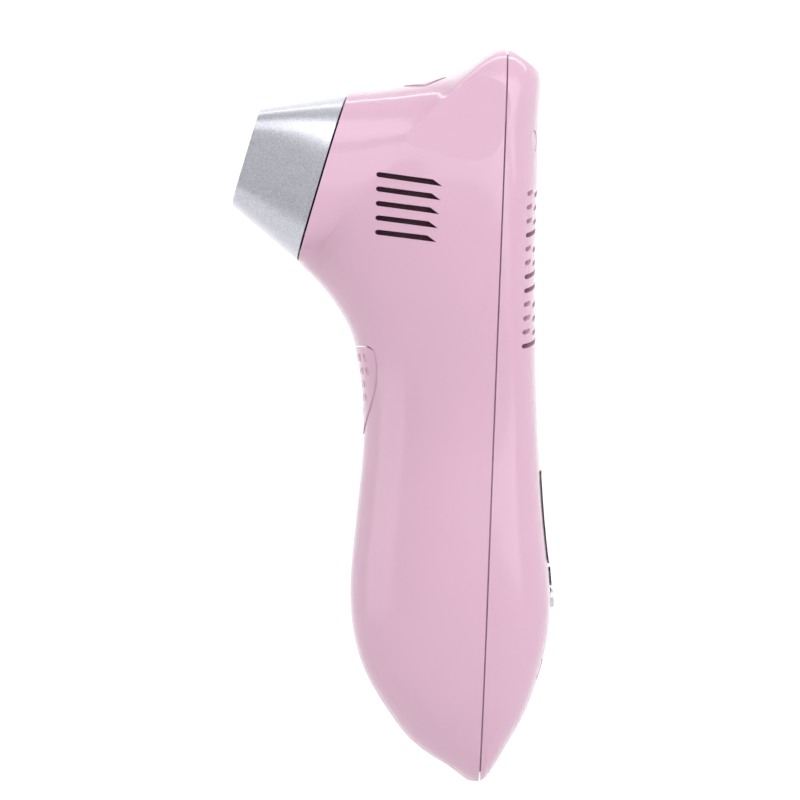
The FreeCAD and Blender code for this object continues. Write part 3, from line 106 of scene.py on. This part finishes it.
class Graph:
    """The node graph of one material."""

    def __init__(self, name: str) -> None:
        """Starts a material with an empty graph.

        Args:
            name: The material's name.
        """
        self.material = bpy.data.materials.new(name)
        self.material.use_nodes = True
        self.tree = self.material.node_tree
        self.tree.nodes.clear()
        self.place = self.node("ShaderNodeTexCoord").outputs["Object"]

    def node(self, kind: str, settings: dict[str, object] | None = None,
             **inputs: object) -> bpy.types.Node:
        """Adds any node.

        Args:
            kind: The node's type.
            settings: Properties set before the sockets, such as an operation.
            inputs: Values or links, by socket name with _ for a space, or by n and
                the socket's number.

        Returns:
            The new node.
        """
        node = self.tree.nodes.new(kind)
        for name, value in (settings or {}).items():
            setattr(node, name, value)
        for name, value in inputs.items():
            numbered = name[0] == "n" and name[1:].isdigit()
            socket = node.inputs[int(name[1:]) if numbered else name.replace("_", " ")]
            if isinstance(value, Value):
                self.tree.links.new(value.socket, socket)
            elif isinstance(value, bpy.types.NodeSocket):
                self.tree.links.new(value, socket)
            else:
                socket.default_value = value
        return node

    def maths(self, operation: str, first: Value | float, second: Value | float) -> Value:
        """Adds a Math node.

        Args:
            operation: What it works out.
            first: The first value.
            second: The second value.

        Returns:
            The result.
        """
        node = self.node("ShaderNodeMath", {"operation": operation}, n0=first, n1=second)
        return Value(self, node.outputs[0])

    def noise(self, scale: float, detail: float = 2.0, roughness: float = 0.5,
              stretch: tuple[float, float, float] = (1.0, 1.0, 1.0)) -> Value:
        """Gives soft noise between 0 and 1.

        Args:
            scale: Spots per metre.
            detail: How many finer layers it has.
            roughness: How strong those are.
            stretch: Scale along each axis.

        Returns:
            The noise value.
        """
        spot = self.node("ShaderNodeMapping", Vector=self.place, Scale=stretch)
        node = self.node("ShaderNodeTexNoise", Vector=spot.outputs[0], Scale=scale, Detail=detail,
                         Roughness=roughness)
        return Value(self, node.outputs["Fac"])

    def cells(self, scale: float, out: str = "Color") -> Value:
        """Gives small cells of random value, or their distance.

        Args:
            scale: Cells per metre.
            out: Which output to read.

        Returns:
            The cell value.
        """
        node = self.node("ShaderNodeTexVoronoi", Vector=self.place, Scale=scale)
        if out != "Color":
            return Value(self, node.outputs[out])
        grey = self.node("ShaderNodeSeparateColor", Color=node.outputs["Color"])
        return Value(self, grey.outputs[0])

    def blend(self, share: Value | float, first: object, second: object) -> bpy.types.NodeSocket:
        """Mixes two colours.

        Args:
            share: How much of the second.
            first: A colour or a colour socket.
            second: A colour or a colour socket.

        Returns:
            The mixed colour's socket.
        """
        node = self.node("ShaderNodeMix", {"data_type": "RGBA"})
        for index, value in ((0, share), (6, first), (7, second)):
            if isinstance(value, Value):
                self.tree.links.new(value.socket, node.inputs[index])
            elif isinstance(value, bpy.types.NodeSocket):
                self.tree.links.new(value, node.inputs[index])
            elif index == 0:
                node.inputs[0].default_value = value
            else:
                node.inputs[index].default_value = (*value, 1.0)
        return node.outputs[2]

    def bump(self, height: Value, distance: float, strength: float = 1.0) -> bpy.types.NodeSocket:
        """Turns a height into a normal.

        Args:
            height: The height, 0 to 1.
            distance: How far 1 stands out, in metres.
            strength: How much of it shows.

        Returns:
            The normal's socket.
        """
        node = self.node("ShaderNodeBump", Height=height, Distance=distance, Strength=strength)
        return node.outputs[0]

    def surface(self, **inputs: object) -> bpy.types.Material:
        """Closes the graph with one principled shader.

        Args:
            inputs: Values or links, by socket name with _ for a space.

        Returns:
            The finished material.
        """
        shader = self.node("ShaderNodeBsdfPrincipled", None, **inputs)
        self.node("ShaderNodeOutputMaterial", Surface=shader.outputs[0])
        return self.material


def shaded(colour: Colour, share: float) -> Colour:
    """Gives a colour with each part times a share."""
    return tuple(part * share for part in colour)


def linear(red: int, green: int, blue: int) -> Colour:
    """Turns an everyday colour of 0 to 255 steps into linear light, by the usual sRGB curve.

    Args:
        red: Red.
        green: Green.
        blue: Blue.

    Returns:
        The linear colour.
    """
    def one(step: int) -> float:
        """Turns one channel."""
        share = step / COLOUR_STEPS
        return share / 12.92 if share <= 0.04045 else ((share + 0.055) / 1.055) ** 2.4
    return one(red), one(green), one(blue)


# ---------------------------------------------------------------- finishes


@dataclass(frozen=True)
class Finish:
    """A finish: a name, a main colour and how it is made."""

    name: str
    colour: Colour

    def make(self) -> bpy.types.Material:
        """Makes the material."""
        raise NotImplementedError


@dataclass(frozen=True)
class GlossShell(Finish):
    """Polished moulded shell plastic with a faint ripple and a soft depth of colour."""

    ripple: float = 0.006 * MM
    wave_scale: float = 110.0
    pit_scale: float = 1500.0
    pit_share: float = 0.05
    depth: float = 0.955

    def make(self) -> bpy.types.Material:
        """Makes the material.

        Returns:
            The material.
        """
        graph = Graph(self.name)
        drift = graph.noise(22.0, 2.0)
        fine = graph.noise(900.0, 3.0)
        colour = graph.blend(drift, self.colour, shaded(self.colour, self.depth))
        pits = graph.noise(self.pit_scale, 2.0) * self.pit_share
        height = graph.noise(self.wave_scale, 1.0) * 0.8 + pits
        return graph.surface(
            Base_Color=colour, Roughness=fine * 0.05 + 0.2, IOR=1.5,
            Specular_IOR_Level=0.4, Coat_Weight=0.6, Coat_Roughness=0.03,
            Normal=graph.bump(height, self.ripple))


@dataclass(frozen=True)
class SparkleSilver(Finish):
    """Silver paint with bright flakes under a satin coat."""

    flakes: float = 4200.0
    small_flakes: float = 2.3
    dark_flake: float = 0.72
    bright_flake: float = 1.36
    flake_height: float = 0.02 * MM

    def make(self) -> bpy.types.Material:
        """Makes the material.

        Returns:
            The material.
        """
        graph = Graph(self.name)
        flake = graph.cells(self.flakes)
        small = graph.cells(self.flakes * self.small_flakes)
        mist = graph.noise(2500.0, 2.0)
        dark = shaded(self.colour, self.dark_flake)
        bright = tuple(min(part, 1.0) for part in shaded(self.colour, self.bright_flake))
        mixed = graph.blend(flake * 0.55 + small * 0.45, dark, bright)
        colour = graph.blend(0.25, mixed, self.colour)
        height = flake * 0.6 + small * 0.4
        return graph.surface(
            Base_Color=colour, Metallic=0.95, Roughness=mist * 0.04 + flake * 0.05 + 0.26,
            Coat_Weight=0.15, Coat_Roughness=0.1,
            Normal=graph.bump(height, self.flake_height, 0.4))


@dataclass(frozen=True)
class MouldedPlastic(Finish):
    """Plain moulded plastic with a fine spark-eroded grain."""

    roughness: float = 0.5
    grain: float = 2600.0
    coat: float = 0.0
    shade: float = 0.82
    grain_height: float = 0.03 * MM

    def make(self) -> bpy.types.Material:
        """Makes the material.

        Returns:
            The material.
        """
        graph = Graph(self.name)
        grain = graph.noise(self.grain, 3.0)
        cloud = graph.noise(60.0, 2.0)
        return graph.surface(
            Base_Color=graph.blend(cloud, self.colour, shaded(self.colour, self.shade)),
            Roughness=grain * 0.14 + self.roughness - 0.07, Coat_Weight=self.coat,
            Coat_Roughness=0.06, Normal=graph.bump(grain, self.grain_height, 0.6))


@dataclass(frozen=True)
class Metal(Finish):
    """Bare metal with a drawn grain and faint tarnish."""

    roughness: float = 0.28
    stretch: tuple[float, float, float] = (1.0, 1.0, 14.0)
    tarnish: float = 0.74
    line_height: float = 0.012 * MM

    def make(self) -> bpy.types.Material:
        """Makes the material.

        Returns:
            The material.
        """
        graph = Graph(self.name)
        lines = graph.noise(900.0, 3.0, 0.6, self.stretch)
        stain = graph.noise(120.0, 3.0)
        dull = shaded(self.colour, self.tarnish)
        return graph.surface(
            Base_Color=graph.blend(stain * 0.7, self.colour, dull), Metallic=1.0,
            Roughness=lines * 0.18 + stain * 0.08 + self.roughness - 0.12,
            Normal=graph.bump(lines, self.line_height, 0.5))


@dataclass(frozen=True)
class ClearGlass(Finish):
    """Clear or tinted glass with a faint smear."""

    see_through: float = 0.9
    smear_shade: float = 0.9

    def make(self) -> bpy.types.Material:
        """Makes the material.

        Returns:
            The material.
        """
        graph = Graph(self.name)
        smear = graph.noise(180.0, 3.0)
        return graph.surface(
            Base_Color=graph.blend(smear * 0.2, self.colour, shaded(self.colour, self.smear_shade)),
            Roughness=smear * 0.05 + 0.01, IOR=1.5, Transmission_Weight=self.see_through,
            Coat_Weight=0.3, Coat_Roughness=0.02)


@dataclass(frozen=True)
class PianoBlack(Finish):
    """Deep polished black with faint polishing marks."""

    mark_shade: float = 1.6

    def make(self) -> bpy.types.Material:
        """Makes the material.

        Returns:
            The material.
        """
        graph = Graph(self.name)
        marks = graph.noise(700.0, 4.0, 0.6, (1.0, 6.0, 1.0))
        return graph.surface(
            Base_Color=graph.blend(marks, self.colour, shaded(self.colour, self.mark_shade)),
            Roughness=marks * 0.05 + 0.05, Coat_Weight=0.8, Coat_Roughness=0.02)


@dataclass(frozen=True)
class WovenScreen(Finish):
    """Fine woven screen with open meshes."""

    pitch: float = 0.6 * MM
    strand_shade: float = 2.2
    strand_height: float = 0.1 * MM

    def make(self) -> bpy.types.Material:
        """Makes the material.

        Returns:
            The material.
        """
        graph = Graph(self.name)
        parts = graph.node("ShaderNodeSeparateXYZ", Vector=graph.place)
        turn = math.tau / self.pitch
        strands = [graph.maths("SINE", Value(graph, parts.outputs[axis]) * turn, 0.0)
                   for axis in ("X", "Y", "Z")]
        weave = (strands[0] * strands[1] * 0.5 + strands[2] * 0.5) * 0.5 + 0.5
        strand = shaded(self.colour, self.strand_shade)
        return graph.surface(
            Base_Color=graph.blend(weave, self.colour, strand), Roughness=0.75,
            Normal=graph.bump(weave, self.strand_height))


@dataclass(frozen=True)
class CircuitBoard(Finish):
    """Green solder mask over copper tracks."""

    track_scale: float = 220.0
    track_height: float = 0.04 * MM
    track_shade: float = 1.7

    def make(self) -> bpy.types.Material:
        """Makes the material.

        Returns:
            The material.
        """
        graph = Graph(self.name)
        upright = graph.node("ShaderNodeMapping", Vector=graph.place,
                             Rotation=(math.radians(90), 0, 0))
        tracks = graph.node("ShaderNodeTexBrick", {"offset": 0.5, "squash": 0.6},
                            Vector=upright.outputs[0], Scale=self.track_scale,
                            Mortar_Size=0.09, Mortar_Smooth=0.2)
        line = Value(graph, tracks.outputs["Fac"])
        fine = graph.noise(1200.0, 2.0)
        light = tuple(min(1.0, part + 0.02) for part in shaded(self.colour, self.track_shade))
        return graph.surface(
            Base_Color=graph.blend(line, self.colour, light), Roughness=fine * 0.15 + 0.28,
            Coat_Weight=0.4, Coat_Roughness=0.15,
            Normal=graph.bump(line, self.track_height, 0.7))


@dataclass(frozen=True)
class Ceramic(Finish):
    """Matt sintered body, for ceramic and ferrite."""

    roughness: float = 0.65
    pit_scale: float = 2200.0
    pit_depth: float = 0.04 * MM
    shade: float = 0.85

    def make(self) -> bpy.types.Material:
        """Makes the material.

        Returns:
            The material.
        """
        graph = Graph(self.name)
        pits = graph.cells(self.pit_scale, "Distance")
        cloud = graph.noise(300.0, 4.0)
        return graph.surface(
            Base_Color=graph.blend(cloud, self.colour, shaded(self.colour, self.shade)),
            Roughness=cloud * 0.15 + self.roughness - 0.05,
            Normal=graph.bump(pits * 0.5 + cloud * 0.5, self.pit_depth, 0.5))


@dataclass(frozen=True)
class WoundTape(Finish):
    """Winding tape or enamelled wire in close turns along an axis, with painted shade darkening the
    grooves between turns.
    """

    turns: float = 1600.0
    metallic: float = 0.0
    shade: float = 0.6
    turn_height: float = 0.06 * MM

    def make(self) -> bpy.types.Material:
        """Makes the material.

        Returns:
            The material.
        """
        graph = Graph(self.name)
        parts = graph.node("ShaderNodeSeparateXYZ", Vector=graph.place)
        angle = Value(graph, parts.outputs["Z"]) * (self.turns * math.tau)
        wave = graph.maths("SINE", angle, 0.0) * 0.5 + 0.5
        wrinkle = graph.noise(700.0, 3.0)
        # painted shade: the colour is darkened in the grooves between turns, where shade falls
        groove_shade = shaded(self.colour, self.shade)
        return graph.surface(
            Base_Color=graph.blend(wave, groove_shade, self.colour), Metallic=self.metallic,
            Roughness=wrinkle * 0.2 + 0.28,
            Normal=graph.bump(wave + wrinkle * 0.4, self.turn_height, 0.6))


@dataclass(frozen=True)
class SoftLead(Finish):
    """Soft extruded wire covering or foam."""

    roughness: float = 0.45
    dust_shade: float = 0.8
    dust_height: float = 0.03 * MM

    def make(self) -> bpy.types.Material:
        """Makes the material.

        Returns:
            The material.
        """
        graph = Graph(self.name)
        dust = graph.noise(800.0, 4.0)
        dusty = tuple(part + 0.01 for part in shaded(self.colour, self.dust_shade))
        return graph.surface(
            Base_Color=graph.blend(dust * 0.6, self.colour, dusty),
            Roughness=dust * 0.2 + self.roughness,
            Normal=graph.bump(dust, self.dust_height, 0.4))


@dataclass(frozen=True)
class LitSegment(Finish):
    """A softly lit display segment behind a diffusing film."""

    strength: float = 1.2
    film_shade: float = 0.7

    def make(self) -> bpy.types.Material:
        """Makes the material.

        Returns:
            The material.
        """
        graph = Graph(self.name)
        film = graph.noise(5000.0, 2.0)
        glow = graph.blend(film * 0.25, self.colour, shaded(self.colour, self.film_shade))
        return graph.surface(Base_Color=glow, Roughness=film * 0.1 + 0.3, Emission_Color=glow,
                             Emission_Strength=self.strength)


PINK = linear(230, 186, 209)

FINISHES: dict[str, Finish] = {finish.name: finish for finish in (
    GlossShell("pink_shell", PINK),
    SparkleSilver("silver_shroud", (0.67, 0.67, 0.735)),
    MouldedPlastic("white_frame", (0.86, 0.86, 0.84), 0.42),
    ClearGlass("filter_glass", (0.95, 0.72, 0.42), 0.8),
    ClearGlass("lamp_quartz", (0.94, 0.97, 1.0), 0.95),
    Ceramic("white_ceramic", (0.85, 0.84, 0.8), 0.6),
    Metal("bright_aluminium", (0.9, 0.9, 0.92), 0.2, (14.0, 1.0, 1.0)),
    MouldedPlastic("black_plastic", (0.022, 0.022, 0.024), 0.5),
    MouldedPlastic("grey_plastic", (0.09, 0.09, 0.1), 0.5),
    Metal("brass", (0.78, 0.56, 0.24), 0.26),
    Metal("spring_steel", (0.6, 0.6, 0.62), 0.3),
    CircuitBoard("board_green", (0.012, 0.11, 0.04)),
    MouldedPlastic("capacitor_sleeve", (0.012, 0.014, 0.05), 0.3, 400.0, 0.4),
    SoftLead("saddle_foam", (0.02, 0.02, 0.022), 0.75),
    Ceramic("ferrite", (0.035, 0.034, 0.036), 0.6),
    WoundTape("coil_tape", (0.72, 0.5, 0.03), 300.0),
    WoundTape("copper", (0.75, 0.3, 0.14), 2400.0, 0.9),
    WovenScreen("screen_nylon", (0.05, 0.022, 0.034)),
    PianoBlack("display_black", (0.006, 0.006, 0.007)),
    PianoBlack("display_glass", (0.012, 0.016, 0.018)),
    Metal("silver_rim", (0.8, 0.8, 0.82), 0.22, (1.0, 1.0, 1.0)),
    SoftLead("lead_red", (0.42, 0.012, 0.012)),
    SoftLead("lead_black", (0.012, 0.012, 0.012)),
)}


class Palette:
    """Makes each finish once and dresses pieces in it."""

    def __init__(self) -> None:
        """Starts with no finish made."""
        self.made: dict[str, bpy.types.Material] = {}

    def material(self, slot: str) -> bpy.types.Material:
        """Gives the material of a slot.

        Args:
            slot: The record's slot name.

        Returns:
            The material.
        """
        if slot not in self.made:
            self.made[slot] = FINISHES[slot].make()
        return self.made[slot]

    def dress_nodes(self, nodes: list[str], slots: dict[str, str]) -> None:
        """Gives CAD nodes their finish.

        Args:
            nodes: Node names.
            slots: The slot of each node.
        """
        for name in nodes:
            item = frame["nodes"][name]
            item.data.materials.clear()
            item.data.materials.append(self.material(slots[name]))

    def dress_piece(self, piece: bpy.types.Object, slot: str) -> None:
        """Gives a new piece its finish.

        Args:
            piece: The piece.
            slot: The record's slot name.
        """
        piece.data.materials.clear()
        piece.data.materials.append(self.material(slot))


PALETTE = Palette()
LIT_MATERIAL = LitSegment("lit_white", (0.75, 0.85, 1.0)).make()
SLOTS = {part["node"]: part["material_slot"] for part in frame["record"]["subparts"]}


# ---------------------------------------------------------------- display readout


@dataclass
class Readout:
    """The lit digit and level bars of the display, a hair above the glass."""

    segment_length: float = 4.2 * MM
    segment_width: float = 0.8 * MM
    thickness: float = 0.05 * MM
    digit_centre: tuple[float, float] = (0.0, 11.4 * MM)
    bar_level: float = 0.6 * MM
    bar_pitch: float = 2.7 * MM
    bars: int = 5
    bar_width: float = 1.6  # in segment widths
    first_bar: float = 1.2  # in mm, as is bar_growth
    bar_growth: float = 0.45
    point: float = 0.32  # in segment widths, as is gap
    point_steps: int = 2
    gap: float = 0.25
    centre: Vector = field(default_factory=PANEL_CENTRE.copy)

    def axes(self) -> tuple[Vector, Vector, Vector]:
        """Finds how the panel stands.

        Returns:
            Its sideways, up and out directions.
        """
        out = Vector((math.cos(PANEL_TILT), 0, math.sin(PANEL_TILT)))
        up = Vector((-math.sin(PANEL_TILT), 0, math.cos(PANEL_TILT)))
        return Vector((0, 1, 0)), up, out

    def glass_level(self) -> float:
        """Finds how far out the glass's face stands from the panel's centre.

        Returns:
            The distance.
        """
        out = self.axes()[2]
        glass = frame["nodes"]["display_lens"]
        return max((glass.matrix_world @ vertex.co - self.centre).dot(out)
                   for vertex in glass.data.vertices)

    def segment(self, name: str, across: float, height: float, length: float, width: float,
                upright: bool) -> bpy.types.Object:
        """Makes one bevelled segment.

        Args:
            name: The piece's name.
            across: Its middle, sideways on the panel.
            height: Its middle, up the panel.
            length: Its long side.
            width: Its short side.
            upright: True when it stands.

        Returns:
            The piece.
        """
        side, up, out = self.axes()
        long_side, short_side = (up, side) if upright else (side, up)
        level = self.glass_level() + self.thickness * 0.5
        place = self.centre + side * across + up * height + out * level
        bpy.ops.object.select_all(action="DESELECT")
        bpy.ops.mesh.primitive_cube_add(size=1.0)
        piece = bpy.context.object
        piece.name = name
        turn = Matrix((long_side, short_side, long_side.cross(short_side))).transposed().to_4x4()
        piece.matrix_world = Matrix.Translation(place) @ turn @ Matrix.Diagonal(
            (length, width, self.thickness, 1.0))
        bpy.ops.object.transform_apply(location=True, rotation=True, scale=True)
        ends = piece.modifiers.new("pointed ends", "BEVEL")
        ends.width = width * self.point
        ends.segments = self.point_steps
        ends.limit_method = "NONE"
        bpy.ops.object.modifier_apply(modifier=ends.name)
        piece.data.materials.append(LIT_MATERIAL)
        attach(piece, Body.HOUSING.value)
        return piece

    def build(self) -> list[bpy.types.Object]:
        """Makes the digit three and the growing bars.

        Returns:
            The pieces.
        """
        across, middle = self.digit_centre
        half = self.segment_length / 2
        length = self.segment_length - self.segment_width - self.segment_width * self.gap
        spots = [(across, middle + 2 * half, False), (across, middle, False),
                 (across, middle - 2 * half, False), (across + half, middle + half, True),
                 (across + half, middle - half, True)]
        pieces = [
            self.segment(f"digit_segment_{number}", x, y, length, self.segment_width, upright)
            for number, (x, y, upright) in enumerate(spots)]
        for number in range(self.bars):
            x = (number - (self.bars - 1) / 2) * self.bar_pitch
            height = (self.first_bar + self.bar_growth * number) * MM
            pieces.append(self.segment(f"level_bar_{number}", x, self.bar_level + height / 2,
                                       height, self.segment_width * self.bar_width, True))
        return pieces


# ---------------------------------------------------------------- screw well caps


@dataclass
class WellCaps:
    """The moulded caps that close the four screw wells flush with the back."""

    radius: float = 2.62 * MM
    sides: int = 48
    plug_length: float = 20.0 * MM
    rim: float = 0.15 * MM
    rim_steps: int = 3
    probes: int = 12
    probe_reach: float = 1.18  # in radii
    probe_start: float = 0.3
    wells: tuple[tuple[float, float, float], ...] = (
        (9.0, 30.0, 9.0), (-9.0, 30.0, 9.0), (15.0, 166.0, 4.4), (-15.0, 166.0, 4.4))
    screw_head: float = 1.6 * MM
    sink: float = 0.12 * MM

    def skin_points(self, across: float, height: float) -> list[Vector]:
        """Finds points of the back's skin round a well.

        Args:
            across: The well's place sideways.
            height: The well's height.

        Returns:
            The points.
        """
        shell = frame["nodes"]["rear_shell"]
        tree = BVHTree.FromObject(shell, bpy.context.evaluated_depsgraph_get())
        found = []
        reach = self.radius * self.probe_reach
        for step in range(self.probes):
            turn = step * math.tau / self.probes
            start = Vector((self.probe_start, across + reach * math.cos(turn),
                            height + reach * math.sin(turn)))
            hit = tree.ray_cast(start, Vector((-1, 0, 0)))[0]
            if hit is not None:
                found.append(hit)
        return found

    def cap(self, name: str, across: float, height: float, floor: float) -> bpy.types.Object:
        """Makes one cap: a bevelled plug cut off along the skin.

        Args:
            name: The piece's name.
            across: The well's place sideways.
            height: The well's height.
            floor: The well's inner end.

        Returns:
            The piece.
        """
        points = self.skin_points(across, height)
        middle = sum(points, Vector()) / len(points)
        normal = Vector()
        for first, second in zip(points, points[1:] + points[:1]):
            normal += (first - middle).cross(second - middle)
        normal.normalize()
        if normal.x < 0:
            normal.negate()
        middle_x = floor + self.screw_head + self.plug_length / 2
        bpy.ops.object.select_all(action="DESELECT")
        bpy.ops.mesh.primitive_cylinder_add(
            vertices=self.sides, radius=self.radius, depth=self.plug_length,
            rotation=(0, math.radians(90), 0), location=(middle_x, across, height))
        piece = bpy.context.object
        piece.name = name
        bpy.ops.object.transform_apply(location=True, rotation=True, scale=True)
        bpy.ops.object.mode_set(mode="EDIT")
        bpy.ops.mesh.select_all(action="SELECT")
        bpy.ops.mesh.bisect(plane_co=middle - normal * self.sink, plane_no=normal,
                            clear_outer=True, use_fill=True)
        bpy.ops.object.mode_set(mode="OBJECT")
        edge = piece.modifiers.new("soft rim", "BEVEL")
        edge.width = self.rim
        edge.segments = self.rim_steps
        edge.limit_method = "ANGLE"
        bpy.ops.object.modifier_apply(modifier=edge.name)
        PALETTE.dress_piece(piece, "pink_shell")
        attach(piece, Body.HOUSING.value)
        return piece

    def build(self) -> list[bpy.types.Object]:
        """Makes every cap.

        Returns:
            The pieces.
        """
        return [self.cap(f"well_cap_{number}", across * MM, (height + ROW_SHIFT.z) * MM,
                         (floor + ROW_SHIFT.x) * MM)
                for number, (across, height, floor) in enumerate(self.wells)]


# ---------------------------------------------------------------- studio


@dataclass
class Studio:
    """Floor, backdrop, lights and camera."""

    distance: float = 1.2
    field_width: float = 0.2084
    roll: float = math.radians(2.175)
    centre: tuple[float, float] = (0.0017, 0.0031)
    sensor: float = 36.0
    clip: tuple[float, float] = (0.05, 20.0)
    crown: float = 0.065
    floor_level: float = -0.30
    floor_size: float = 6.0
    far_edge: float = 2.9
    wall_height: float = 3.5
    curve_radius: float = 1.2
    curve_steps: int = 24
    paper: tuple[Colour, Colour] = ((0.86, 0.86, 0.86), (0.845, 0.845, 0.85))
    top_level: float = 1.65
    top_size: tuple[float, float] = (2.8, 1.2)
    top_distance: float = 1.25
    front_level: float = 1.35
    front_size: tuple[float, float] = (3.4, 1.7)
    front_distance: float = 2.6
    side_level: float = 0.85
    side_size: tuple[float, float] = (1.6, 1.0)
    side_distance: float = 1.3
    backdrop_level: float = 4.2
    backdrop_size: tuple[float, float] = (3.4, 1.0)

    def sweep(self) -> None:
        """Builds the floor that curves up into a plain backdrop."""
        bpy.ops.object.select_all(action="DESELECT")
        bpy.ops.mesh.primitive_plane_add(size=self.floor_size, location=(0, 0, self.floor_level))
        floor = bpy.context.object
        floor.name = "studio_floor"
        bpy.ops.object.mode_set(mode="EDIT")
        work = bmesh.from_edit_mesh(floor.data)
        for edge in work.edges:
            edge.select = all(vertex.co.y > self.far_edge for vertex in edge.verts)
        for vertex in work.verts:
            vertex.select = vertex.co.y > self.far_edge
        bmesh.update_edit_mesh(floor.data)
        bpy.ops.mesh.extrude_region_move(
            TRANSFORM_OT_translate={"value": (0, 0, self.wall_height)})
        bpy.ops.object.mode_set(mode="OBJECT")
        bevel = floor.modifiers.new("curve", "BEVEL")
        bevel.width = self.curve_radius
        bevel.segments = self.curve_steps
        bevel.limit_method = "ANGLE"
        bpy.ops.object.modifier_apply(modifier=bevel.name)
        bpy.ops.object.shade_smooth()
        graph = Graph("studio_white")
        cloud = graph.noise(1.5, 2.0)
        paper = graph.blend(cloud, *self.paper)
        floor.data.materials.append(graph.surface(Base_Color=paper, Roughness=0.85))

    def softbox(self, name: str, place: Vector, aim: Vector, long_side: Vector,
                size: tuple[float, float], radiance: float) -> None:
        """Hangs one rectangular soft light.

        Args:
            name: Its name.
            place: Where its middle hangs.
            aim: The point it looks at.
            long_side: The direction of its first side.
            size: Its two sides.
            radiance: How bright its face is, where 1 is a white wall in even light.
        """
        data = bpy.data.lights.new(name, "AREA")
        data.shape = "RECTANGLE"
        data.size, data.size_y = size
        data.energy = radiance * math.pi * size[0] * size[1]
        light = bpy.data.objects.new(name, data)
        bpy.context.scene.collection.objects.link(light)
        back = (place - aim).normalized()
        side = (long_side - long_side.dot(back) * back).normalized()
        turn = Matrix((side, back.cross(side), back)).transposed().to_4x4()
        light.matrix_world = Matrix.Translation(place) @ turn

    @staticmethod
    def heading(azimuth: float, elevation: float) -> Vector:
        """Gives a direction seen from the handset.

        Args:
            azimuth: Degrees from the camera's side towards the panel's side.
            elevation: Degrees up.

        Returns:
            The unit direction.
        """
        turn, lift = math.radians(azimuth), math.radians(elevation)
        return Vector((math.sin(turn) * math.cos(lift), -math.cos(turn) * math.cos(lift),
                       math.sin(lift)))

    def light(self) -> None:
        """Sets the even studio light.

        The top box's lower edge lies in the plane through the handset's top and the
        first two headings.
        """
        top = Vector((0, 0, self.crown))
        first = self.heading(-30, 31)
        second = self.heading(65, 5)
        along = (second - first).normalized()
        lift = first.cross(second).normalized()
        middle = (first + second).normalized()
        rise = lift * (self.top_size[1] / 2)
        edge = top + middle * self.top_distance
        upright = Vector((0, 0, 1))
        across = Vector((1, 0, 0))
        self.softbox("top_box", edge + rise, top + rise, along, self.top_size, self.top_level)
        self.softbox("front_fill", self.heading(15, 4) * self.front_distance, Vector(), across,
                     self.front_size, self.front_level)
        self.softbox("nose_box", self.heading(-75, 0) * self.side_distance, Vector(), upright,
                     self.side_size, self.side_level)
        self.softbox("backdrop_box", Vector((0, 1.2, 1.8)), Vector((0, 2.9, 0.2)), across,
                     self.backdrop_size, self.backdrop_level)

    def camera(self) -> None:
        """Places the camera square on to the handset's side."""
        data = bpy.data.cameras.new("camera")
        data.sensor_width = self.sensor
        data.lens = self.sensor * self.distance / self.field_width
        data.clip_start, data.clip_end = self.clip
        camera = bpy.data.objects.new("camera", data)
        bpy.context.scene.collection.objects.link(camera)
        right = Vector((math.cos(self.roll), 0, math.sin(self.roll)))
        up = Vector((-math.sin(self.roll), 0, math.cos(self.roll)))
        turn = Matrix((right, up, right.cross(up))).transposed().to_4x4()
        place = Matrix.Translation((self.centre[0], -self.distance, self.centre[1]))
        camera.matrix_world = place @ turn
        bpy.context.scene.camera = camera
        bpy.context.scene.view_settings.view_transform = "Standard"

    def build(self) -> None:
        """Builds the whole studio."""
        self.sweep()
        self.light()
        self.camera()
        LOG.info("studio: sweep, four soft lights, camera")


def main() -> None:
    """Builds and dresses every sub-assembly in order."""
    PALETTE.dress_nodes(list(frame["nodes"]), SLOTS)
    LOG.info("dressed %d CAD nodes", len(frame["nodes"]))
    for group in (Readout(), WellCaps()):
        for piece in group.build():
            LOG.info("%s: %s", type(group).__name__, piece.name)
    Studio().build()


if __name__ == "__main__":
    main()
